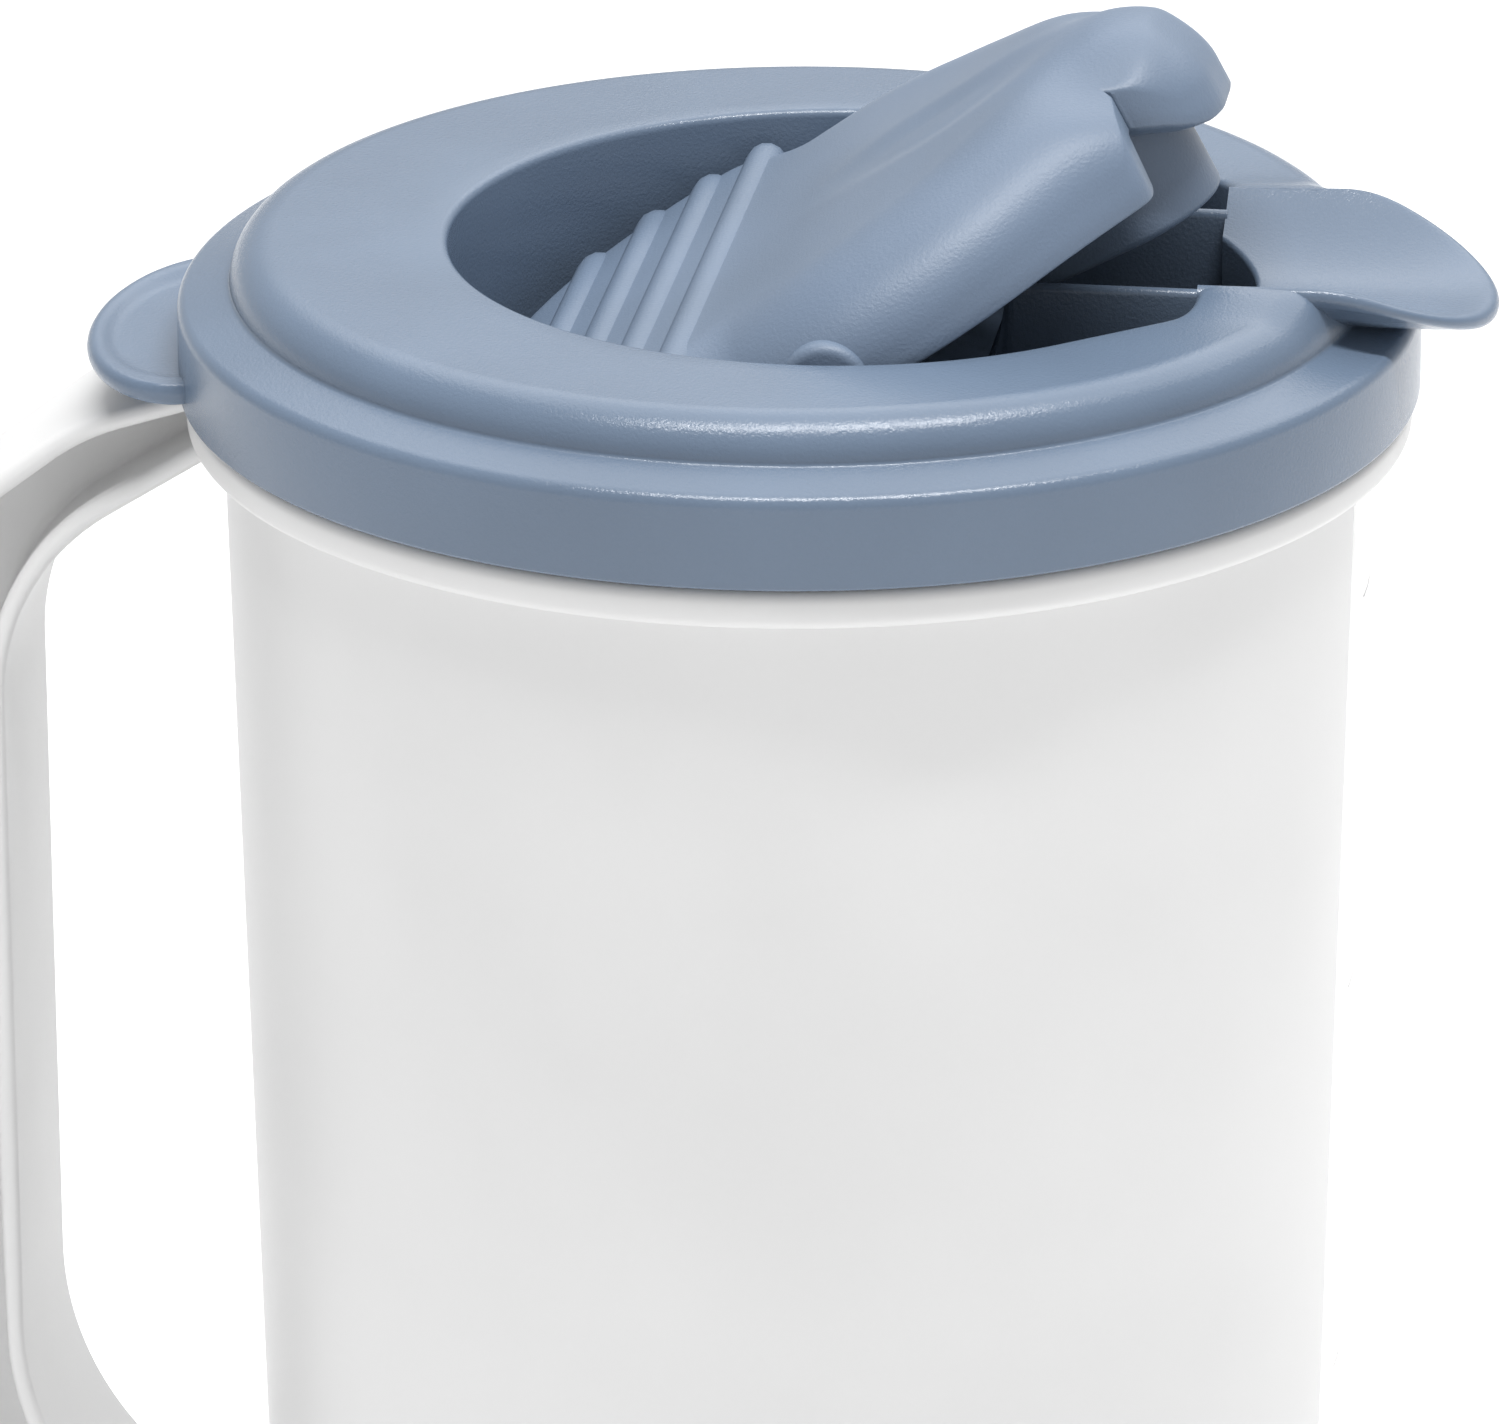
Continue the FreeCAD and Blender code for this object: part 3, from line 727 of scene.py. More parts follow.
@dataclass(frozen=True)
class RowGrower:
    """Geometry Nodes tree that repeats a rounded bar along a row."""

    name: str
    count: int
    lengths: dict[str, float]
    material: bpy.types.Material
    round_spans: int = 14

    @staticmethod
    def bars(bench: NodeBench, count: Wire, start: Wire, pitch: Wire, half: Wire, spans: int) -> Wire:
        """Place one straight curve across Y at each station of a row.

        Args:
            bench: Bench of the geometry tree.
            count: Number of bars.
            start: First station.
            pitch: Step from station to station.
            half: Half-length of each curve.
            spans: Points along each curve.

        Returns:
            The curves, made real.
        """
        row = bench.out("GeometryNodeMeshLine", {
            "Count": count, "Start Location": start, "Offset": pitch}, mode="OFFSET")
        line = bench.out("GeometryNodeCurvePrimitiveLine", {
            "Start": bench.vector(Y=0.0 - half), "End": bench.vector(Y=half)})
        fine = bench.out("GeometryNodeResampleCurve", {"Curve": line, "Count": spans})
        spread = bench.out("GeometryNodeInstanceOnPoints", {"Points": row, "Instance": fine})
        return bench.out("GeometryNodeRealizeInstances", {"Geometry": spread})

    @staticmethod
    def laid(bench: NodeBench, curves: Wire, place: Wire) -> Wire:
        """Move every point of the curves to a place."""
        return bench.out("GeometryNodeSetPosition", {"Geometry": curves, "Position": place})

    @staticmethod
    def rounded_end(bench: NodeBench, from_end: Wire, radius: Wire) -> Wire:
        """Share of the bar's radius at a distance from its end, for a round end."""
        lacking = 1.0 - bench.clamped(from_end / radius)
        return bench.math("SQRT", 1.001 - lacking * lacking)

    def grow(self, shape: Callable[[NodeBench, dict[str, Wire], Wire], tuple[Wire, Wire]],
             place: Matrix | None = None) -> bpy.types.Mesh:
        """Build the tree, bake it and return the plain mesh.

        Args:
            shape: Lays the bars and gives their taper.
            place: Where the row's own frame lies.

        Returns:
            The baked mesh.
        """
        tree = bpy.data.node_groups.new(self.name, "GeometryNodeTree")
        tree.interface.new_socket("Geometry", in_out="INPUT", socket_type="NodeSocketGeometry")
        tree.interface.new_socket("Geometry", in_out="OUTPUT", socket_type="NodeSocketGeometry")
        values: dict[str, float] = {"Count": self.count, **self.lengths}
        named = {}
        for name in values:
            kind = "NodeSocketInt" if name == "Count" else "NodeSocketFloat"
            named[name] = tree.interface.new_socket(name, in_out="INPUT", socket_type=kind)
        bench = NodeBench(tree)
        entry = bench.node("NodeGroupInput", {})
        sizes = {length: bench.wire(entry, length) for length in self.lengths}
        curves, taper = shape(bench, sizes, bench.wire(entry, "Count"))
        ring = bench.out("GeometryNodeCurvePrimitiveCircle", {
            "Resolution": self.round_spans, "Radius": sizes["Bar radius"]})
        solid = bench.out("GeometryNodeCurveToMesh", {
            "Curve": curves, "Profile Curve": ring, "Scale": taper, "Fill Caps": True})
        real = bench.out("GeometryNodeRealizeInstances", {"Geometry": solid})
        painted = bench.out("GeometryNodeSetMaterial", {
            "Geometry": real, "Material": self.material})
        bench.node("NodeGroupOutput", {"Geometry": painted})
        carrier = bpy.data.objects.new(self.name + "_carrier", bpy.data.meshes.new(self.name + "_seed"))
        bpy.context.scene.collection.objects.link(carrier)
        nodes = carrier.modifiers.new("row", "NODES")
        nodes.node_group = tree
        for name, value in values.items():
            nodes[named[name].identifier] = value
        evaluated = carrier.evaluated_get(bpy.context.evaluated_depsgraph_get())
        baked = bpy.data.meshes.new_from_object(evaluated)
        carrier.modifiers.remove(nodes)
        bpy.data.objects.remove(carrier)
        baked.name = self.name
        if place is not None:
            baked.transform(place)
        weld(baked)
        return baked


# The jug


@dataclass
class Jug:
    """Drafted cup with a bead and lip, its loop handle and the graduation ticks."""

    base_radius: float = 57.7
    neck_radius: float = 61.9
    wall: float = 1.8
    floor: float = 2.4
    heel_round: float = 6.0
    bead_bottom: float = 198.3
    bead_height: float = 4.4
    bead_radius: float = 65.8
    lip_radius: float = 64.6
    rim_top: float = 211.0
    skirt_radius: float = 66.6
    grip_inside: float = 85.8
    grip_depth: float = 14.2
    grip_half_width: float = 12.0
    flange: float = 2.2
    web: float = 2.4
    arm_root: float = 51.7
    grip_middle: float = 118.0
    grip_bottom: float = 57.0
    heel_outer_round: float = 48.3
    heel_inner_round: float = 34.1
    elbow_round: float = 26.0
    elbow_outer: float = 180.5
    elbow_inner: float = 179.8
    arm_bend: float = 77.5
    arm_level: float = 198.0
    arm_top_slope: float = math.tan(math.radians(18.1))
    arm_under_slope: float = math.tan(math.radians(32.4))
    loop_stations: int = 72
    tick_count: int = 4
    tick_first: float = 46.0
    tick_pitch: float = 45.3
    tick_half_length: float = 4.2
    tick_radius: float = 0.22

    def cup(self) -> bpy.types.Mesh:
        """Turn the cup's wall, floor, bead and lip.

        Returns:
            The mesh.
        """
        top = self.bead_bottom + self.bead_height
        inner = self.neck_radius - self.wall
        profile = rounded_path([
            (0, 0, 0), (self.base_radius - 9, 0, 1.5), (self.base_radius - 8, 0.8, 1.5),
            (self.base_radius - 6, 0, 1.5), (self.base_radius, 0, self.heel_round - 2.5),
            (self.neck_radius, self.bead_bottom, 0.8),
            (self.bead_radius, self.bead_bottom, 1.5), (self.bead_radius, top, 1.5),
            (self.neck_radius, top, 0.5), (self.neck_radius, self.rim_top - 2.5, 0.3),
            (self.lip_radius, self.rim_top - 2.5, 0.6), (self.lip_radius, self.rim_top, 0.8),
            (inner, self.rim_top, 0.8), (inner, self.bead_bottom, 0),
            (self.base_radius - self.wall, self.floor, self.heel_round - self.wall), (0, self.floor, 0),
        ], 7, closed=True)
        return turned_mesh("jug_cup", profile, 224)

    def loop_face(self, x: float, low: float, heel: float, above: Sequence[Corner]) -> np.ndarray:
        """Contour of one face of the handle, from its lower root to its upper root.

        Args:
            x: Station of the upright grip's face.
            low: Level of the lower arm's face.
            heel: Radius of the lower bend.
            above: Corners from the grip up to the upper root.

        Returns:
            Points (x, z).
        """
        start = (x, self.grip_middle, 0)
        lower = rounded_path([start, (x, low, heel), (-self.arm_root, low, 0)], 24)
        upper = rounded_path([start, *above], 24)
        count = self.loop_stations
        return np.concatenate([evenly(lower, count)[:0:-1], evenly(upper, count)])

    def handle(self) -> bpy.types.Mesh:
        """Sweep the I-section round the loop and trim it inside the cup's wall.

        Returns:
            The mesh.
        """
        outside = self.grip_inside + self.grip_depth
        root = self.arm_root
        elbow = self.elbow_round
        outer = self.loop_face(-outside, self.grip_bottom - self.grip_depth, self.heel_outer_round, [
            (-outside, self.elbow_outer, elbow), (-self.arm_bend, self.arm_level, elbow),
            (-root, self.arm_level + (self.arm_bend - root) * self.arm_top_slope, 0)])
        inner = self.loop_face(-self.grip_inside, self.grip_bottom, self.heel_inner_round, [
            (-self.grip_inside, self.elbow_inner, elbow),
            (-root, self.elbow_inner + (self.grip_inside - root) * self.arm_under_slope, 0)])
        draft = MeshDraft()
        rings = []
        for (x1, z1), (x2, z2) in zip(outer, inner):
            depth = math.hypot(x2 - x1, z2 - z1)
            section = self.handle_section(depth)
            rings.append(draft.ring(
                (x1 + (x2 - x1) * d / depth, y, z1 + (z2 - z1) * d / depth) for d, y in section))
        return carve(draft.body("jug_handle_loop", rings), [self.core()])

    def core(self) -> bpy.types.Mesh:
        """Solid that the handle is trimmed by: the cup's inside and the room for the skirt.

        Returns:
            The mesh.
        """
        mid_wall = self.neck_radius - self.wall / 2
        skirt = self.skirt_radius + 0.4
        shelf = self.bead_bottom + 2.6
        below = -5
        above = self.rim_top + 6
        profile = rounded_path([
            (0, below, 0), (self.base_radius - 1, below, 0), (mid_wall, self.bead_bottom, 0),
            (mid_wall, shelf, 0), (skirt, shelf, 0), (skirt, above, 0), (0, above, 0)], 1, closed=True)
        return turned_mesh("jug_core", profile, 160)

    def handle_section(self, depth: float) -> np.ndarray:
        """Closed I-section from the outer face to the inner face.

        Args:
            depth: Distance between the two contours.

        Returns:
            Points (distance in from the outer face, y).
        """
        half = self.grip_half_width
        thick = self.flange
        web = self.web / 2
        edge = thick / 2.2
        inside = min(1.4, max(0.05, (depth - 2 * thick) / 2.3))
        right = [
            (0, half, edge), (thick, half, edge), (thick, web, inside),
            (depth - thick, web, inside), (depth - thick, half, edge), (depth, half, edge),
        ]
        left = [(d, -y, r) for d, y, r in reversed(right)]
        return rounded_path(right + left, 4, closed=True)

    def ticks(self, material: bpy.types.Material) -> bpy.types.Mesh:
        """Grow the graduation ticks on the polished strip with Geometry Nodes.

        Args:
            material: Finish of the ticks.

        Returns:
            The baked mesh.
        """
        slope = (self.neck_radius - self.base_radius) / self.bead_bottom
        lengths = {
            "First height": self.tick_first * MM, "Pitch": self.tick_pitch * MM,
            "Half length": self.tick_half_length * MM, "Bar radius": self.tick_radius * MM,
            "Base radius": (self.base_radius - 0.15) * MM, "Wall slope": slope,
        }
        grower = RowGrower("graduation_ticks", self.tick_count, lengths, material)
        return grower.grow(self.shape_ticks)

    @staticmethod
    def shape_ticks(bench: NodeBench, sizes: dict[str, Wire], count: Wire) -> tuple[Wire, Wire]:
        """Lay one bar per tick on the tapering wall.

        Args:
            bench: Bench of the geometry tree.
            sizes: Named lengths of the tree.
            count: Number of ticks.

        Returns:
            The laid curves and the share of the bar's radius along them.
        """
        start = bench.vector(Z=sizes["First height"])
        pitch = bench.vector(Z=sizes["Pitch"])
        curves = RowGrower.bars(bench, count, start, pitch, sizes["Half length"], 24)
        y, z = bench.parts(bench.out("GeometryNodeInputPosition", {}))[1:]
        radius = sizes["Base radius"] + z * sizes["Wall slope"]
        x = bench.math("SQRT", radius * radius - y * y)
        moved = RowGrower.laid(bench, curves, bench.vector(X=x, Y=y, Z=z))
        from_end = sizes["Half length"] - bench.math("ABSOLUTE", y)
        return moved, RowGrower.rounded_end(bench, from_end, sizes["Bar radius"])

    def build(self, shop: Workshop) -> None:
        """Build and dress every piece of the jug.

        Args:
            shop: Workshop that finishes the pieces.
        """
        shop.piece(self.cup(), Body.JUG, Slot.JUG, ["jug_vessel"])
        shop.piece(self.handle(), Body.JUG, Slot.JUG, [
            "jug_handle_outer_flange", "jug_handle_inner_flange", "jug_handle_web"])
        shop.piece(self.ticks(shop.materials[Slot.JUG]), Body.JUG, Slot.JUG)


# The lid


@dataclass
class Lid:
    """Skirt, shelf, crown, recess, pouring channel, spout and thumb tab."""

    segments: int = 384
    skirt_radius: float = 66.6
    skirt_inner: float = 65.0
    skirt_bottom: float = 203.0
    rim_top: float = 211.0
    shelf_z: float = 212.9
    crown_foot_z: float = 214.6
    crown_radius: float = 60.9
    crown_round: float = 4.6
    top: float = 219.3
    wall: float = 1.8
    recess_centre: float = 4.5
    recess_radius: float = 42.0
    recess_turn: float = math.radians(50.3)
    recess_front: float = 44.5
    recess_floor: float = 197.0
    bowl_wall: float = 1.6
    rim_round: float = 0.9
    floor_round: float = 2.0
    bowl_round: float = 1.2
    corner_blend: float = 3.0
    channel_half: float = 12.4
    channel_wall: float = 1.6
    well_back: float = 22.8
    well_front: float = 49.0
    well_back_top: float = 209.0
    cut_clearance: float = 0.4
    spout_half: float = 17.4
    spout_tip: float = 75.0
    spout_edge: float = 221.0
    spout_floor: float = 215.2
    dish_radius: float = 26.0
    spout_wall: float = 2.4
    spout_lip: float = 1.15
    spout_soft: float = 0.7
    tab_centre: float = -65.0
    tab_reach: float = 12.1
    tab_half: float = 22.0
    tab_low: float = 204.2
    tab_high: float = 206.6
    tab_lip: float = 1.1
    tab_sweep: float = 102.0
    tab_dip: float = 0.9
    tab_dip_span: tuple[float, float] = (0.74, 0.9)
    tab_root_share: float = 0.93
    tab_sink: float = 0.8

    def recess_plan(self, outset: float) -> np.ndarray:
        """Plan of the recess, drawn out by outset, one point per segment.

        Args:
            outset: Distance outside the wall of the recess.

        Returns:
            Points of the plan.
        """
        angles = np.linspace(-math.pi, math.pi, self.segments, endpoint=False)
        spread = np.abs(angles)
        radius = self.recess_radius + outset
        reach = np.full(self.segments, radius)
        ahead = spread < self.recess_turn
        tangent = radius / np.cos(self.recess_turn - spread[ahead])
        front = (self.recess_front - self.recess_centre + outset) / np.cos(spread[ahead])
        width = self.corner_blend
        share = np.clip(0.5 + (front - tangent) / (2 * width), 0.0, 1.0)
        reach[ahead] = front + (tangent - front) * share - width * share * (1 - share)
        return np.stack([self.recess_centre + reach * np.cos(angles), reach * np.sin(angles)], axis=1)

    def circle(self, radius: float) -> np.ndarray:
        """Circle about the jug's axis, one point per segment."""
        angles = np.linspace(-math.pi, math.pi, self.segments, endpoint=False)
        return np.stack([radius * np.cos(angles), radius * np.sin(angles)], axis=1)

    def shell(self) -> bpy.types.Mesh:
        """Skin the lid from the recess floor over the crown and skirt and back underneath.

        Returns:
            The mesh.
        """
        draft = MeshDraft()
        rings: list[list[int]] = []

        def lay(plan: np.ndarray, z: float) -> None:
            """Add one level ring."""
            rings.append(draft.ring((x, y, z) for x, y in plan))

        centre = np.array([self.recess_centre, 0.0])
        bend = self.floor_round
        floor_plan = self.recess_plan(-bend)
        for share in (0.0, 0.15, 0.35, 0.55, 0.75, 0.9, 1.0):
            lay(centre + (floor_plan - centre) * share, self.recess_floor)
        for step in range(1, 7):
            angle = math.pi / 2 * step / 6
            lay(self.recess_plan(bend * (math.sin(angle) - 1)),
                self.recess_floor + bend * (1 - math.cos(angle)))
        soft = self.rim_round
        for z in (203.0, 208.0, 213.0):
            lay(self.recess_plan(0.0), z)
        for step in range(6):
            angle = math.pi / 2 * step / 5
            lay(self.recess_plan(soft * (1 - math.cos(angle))),
                self.top - soft + soft * math.sin(angle))
        brow = self.crown_radius - self.crown_round
        under = self.top - self.wall
        inside = self.crown_radius - self.wall
        rim_plan = self.recess_plan(soft)
        for share in (0.15, 0.4, 0.7, 1.0):
            lay(rim_plan + (self.circle(brow) - rim_plan) * share, self.top)
        contour = rounded_path([
            (brow, self.top, 0), (self.crown_radius, self.top, self.crown_round - 0.1),
            (self.crown_radius, self.crown_foot_z, 0.5), (self.skirt_radius, self.shelf_z, 1.5),
            (self.skirt_radius, self.skirt_bottom, 0.5), (self.skirt_inner, self.skirt_bottom, 0.5),
            (self.skirt_inner, self.rim_top, 0.3), (inside, self.rim_top, 0.3),
            (inside, under, 2.8), (inside - 4, under, 0),
        ], 9)
        for radius, z in contour[1:]:
            lay(self.circle(radius), z)
        outer_plan = self.recess_plan(self.bowl_wall)
        start = self.circle(inside - 4)
        for share in (0.5, 1.0):
            lay(start + (outer_plan - start) * share, under)
        bottom = self.recess_floor - self.bowl_wall
        lay(outer_plan, 205.0)
        lay(outer_plan, bottom + self.bowl_round)
        lay(self.recess_plan(self.bowl_wall - self.bowl_round), bottom)
        for share in (0.6, 0.2, 0.0):
            lay(centre + (floor_plan - centre) * share, bottom)
        draft.points = [(x, y, z + self.spout_shoulder(x, y, z)) for x, y, z in draft.points]
        draft.skin(rings)
        return draft.mesh("lid_shell")

    def spout_shoulder(self, x: float, y: float, z: float) -> float:
        """How far the lid's top rises to meet the spout's rim at a place.

        Args:
            x: Station along the lid.
            y: Distance beside the middle.
            z: Level before the rise.

        Returns:
            The rise.
        """
        beside = 1 - float(smooth_step(abs(y), self.spout_half - 1.0, self.spout_half + 7.0))
        along = float(smooth_step(x, self.recess_front - 6, self.recess_front + 3))
        on_top = float(smooth_step(z, 215.5, 218.8))
        return (self.spout_edge - 0.25 - self.top) * beside * along * on_top

    def capsule(self, half: float, back: float, front: float, steps: int = 28) -> np.ndarray:
        """Plan with a straight body and a half-round front, as a closed path.

        Args:
            half: Half of the width.
            back: Station of the straight back.
            front: Station of the nose.
            steps: Points of the half-round.

        Returns:
            Points of the path.
        """
        nose = front - half
        angles = np.linspace(-math.pi / 2, math.pi / 2, steps)
        arc = np.stack([nose + half * np.cos(angles), half * np.sin(angles)], axis=1)
        return np.concatenate([[[back, -half]], arc, [[back, half]]])

    def well_cutter(self) -> bpy.types.Mesh:
        """Prism that opens the pouring well through floor, front wall and top.

        Returns:
            The mesh.
        """
        clear = self.cut_clearance
        plan = self.capsule(self.channel_half + clear, self.well_back, self.well_front + clear)
        draft = MeshDraft()
        low = draft.ring((x, y, 190.0) for x, y in plan)
        high = draft.ring((x, y, 230.0) for x, y in plan)
        return draft.body("well_cutter", [low, high])

    def spout_cutter(self) -> bpy.types.Mesh:
        """Block that clears the crown for the spout, with a dished underside.

        Returns:
            The mesh.
        """
        draft = MeshDraft()
        nose = self.spout_tip - self.spout_half
        half = self.spout_half - 1.1
        bed = self.dish_radius + self.spout_wall / 2
        rings = []
        for x in (self.recess_front - self.cut_clearance, 50.0, nose, nose + 2, nose + 4, nose + 5.5):
            side = math.sqrt(half ** 2 - max(x - nose, 0.0) ** 2)
            across = np.linspace(-side, side, 25)
            section = [(x, y, self.dish(y, bed)) for y in across]
            rings.append(draft.ring(section + [(x, side, 226.0), (x, -side, 226.0)]))
        return draft.body("spout_cutter", rings)

    def dish(self, y: float, radius: float) -> float:
        """Level of a dish of a radius about the spout's axis, at a distance beside it."""
        middle = self.spout_floor + self.dish_radius
        return middle - math.sqrt(radius ** 2 - min(abs(y), radius - 1) ** 2)

    def spout_crest(self) -> np.ndarray:
        """Side profile of the spout's edge as (x, z).

        Returns:
            Points of the profile.
        """
        nose = self.spout_tip - self.spout_half
        return rounded_path([
            (self.recess_front - 1, self.spout_edge, 0), (nose + 2.4, self.spout_edge, 16.0),
            (self.spout_tip + 1, 214.4, 0)], 12)

    def spout(self) -> bpy.types.Mesh:
        """Dished pouring lip with a rolled edge, round the front of the well.

        Returns:
            The mesh.
        """
        crest = self.spout_crest()
        hole_centre = self.well_front - self.channel_half
        swing = math.acos((self.recess_front - hole_centre) / self.channel_half)
        nose = self.spout_tip - self.spout_half
        foot = self.recess_floor - self.bowl_wall
        underside = self.dish_radius + self.spout_wall
        outer = evenly(self.capsule(self.spout_half, self.recess_front, self.spout_tip, 120), 161)
        draft = MeshDraft()
        rings = []
        for index, (bx, by) in enumerate(outer):
            angle = -swing + 2 * swing * index / (len(outer) - 1)
            hx = hole_centre + self.channel_half * math.cos(angle)
            hy = self.channel_half * math.sin(angle)
            reach = math.hypot(bx - hx, by - hy)
            ux, uy = (bx - hx) / reach, (by - hy) / reach
            flat = reach - self.spout_lip
            soft = self.spout_soft

            def over(distance: float) -> float:
                """Level of the top surface at a distance from the hole.

                Args:
                    distance: Distance out from the hole.

                Returns:
                    The level.
                """
                x, y = hx + ux * distance, hy + uy * distance
                edge = float(np.interp(x, crest[:, 0], crest[:, 1]))
                plan = math.sqrt(max(self.spout_half ** 2 - max(x - nose, 0.0) ** 2, 16.0))
                share = min(abs(y) / (plan - 0.7), 1.0)
                return self.spout_floor + (edge - self.spout_floor) * share ** 2

            section = [(0.0, foot)]
            level = over(soft)
            for step in range(5):
                turn = math.pi / 2 * step / 4
                section.append((soft * (1 - math.cos(turn)), level - soft + soft * math.sin(turn)))
            for share in np.linspace(0.0, 1.0, 26)[1:]:
                d = soft + (flat - soft) * float(share)
                section.append((d, over(d)))
            section += half_round(flat, reach, over(flat), self.dish(by, underside))
            for share in np.linspace(1.0, 0.0, 12)[1:]:
                d = self.channel_wall + (flat - self.channel_wall) * float(share)
                section.append((d, min(self.dish(hy + uy * d, underside), over(d) - 0.6)))
            section.append((self.channel_wall, foot))
            rings.append(draft.ring((hx + ux * d, hy + uy * d, z) for d, z in section))
        return draft.body("lid_pouring_spout", rings)

    def channel(self) -> bpy.types.Mesh:
        """Side walls of the channel with its low back wall.

        Returns:
            The mesh.
        """
        middle = self.channel_half + self.channel_wall / 2
        back = self.well_back - self.channel_wall / 2
        front = self.recess_front + 0.2
        path = evenly(rounded_path([
            (front, -middle, 0), (back, -middle, 1.2), (back, middle, 1.2), (front, middle, 0)], 8), 141)
        low = np.full(len(path), self.recess_floor - self.bowl_wall)
        shoulder = smooth_step(path[:, 0], back + 0.3, back + 2.4)
        low_top = self.well_back_top
        high = low_top + (self.top - 0.15 - low_top) * shoulder
        return WallSweep(self.channel_wall).mesh("lid_channel_walls", path, low, high)

    def tab(self) -> bpy.types.Mesh:
        """Half-oval thumb tab with a raised soft rim.

        Returns:
            The mesh.
        """
        draft = MeshDraft()
        rings = []
        inside = self.skirt_radius - self.tab_sink
        for phi in np.radians(np.linspace(-self.tab_sweep, self.tab_sweep, 121)):
            edge = np.array([
                self.tab_centre - self.tab_reach * math.cos(phi), self.tab_half * math.sin(phi)])
            root_y = self.tab_root_share * edge[1]
            root = np.array([-math.sqrt(inside ** 2 - root_y ** 2), root_y])
            reach = float(np.linalg.norm(edge - root))
            out = (edge - root) / reach

            def level(distance: float) -> float:
                """Level of the top at a distance out from the skirt.

                Args:
                    distance: Distance out from the root.

                Returns:
                    The level.
                """
                x, y = root + out * distance
                oval = math.hypot((x - self.tab_centre) / self.tab_reach, y / self.tab_half)
                return self.tab_high - self.tab_dip * (1 - float(smooth_step(oval, *self.tab_dip_span)))

            flat = max(reach - self.tab_lip, 0.02)
            section = [(flat * share, level(flat * share)) for share in np.linspace(0.0, 1.0, 22)]
            section += half_round(flat, reach, level(flat), self.tab_low)
            section.append((0.0, self.tab_low))
            rings.append(draft.ring((*(root + out * d), z) for d, z in section))
        return draft.body("lid_thumb_tab_rimmed", rings)

    def build(self, shop: Workshop) -> None:
        """Build and dress every piece of the lid.

        Args:
            shop: Workshop that finishes the pieces.
        """
        shell = carve(self.shell(), [self.well_cutter(), self.spout_cutter()])
        shop.piece(shell, Body.LID, Slot.LID, ["lid_cap", "lid_recess_bowl"])
        shop.piece(self.spout(), Body.LID, Slot.LID, ["lid_spout"])
        shop.piece(self.channel(), Body.LID, Slot.LID, ["lid_channel"])
        shop.piece(self.tab(), Body.LID, Slot.LID, ["lid_thumb_tab"])
        for name in ("lid_plug_ring", "lid_pivot_socket_near", "lid_pivot_socket_far"):
            shop.carried(name, Slot.LID)


# The cover


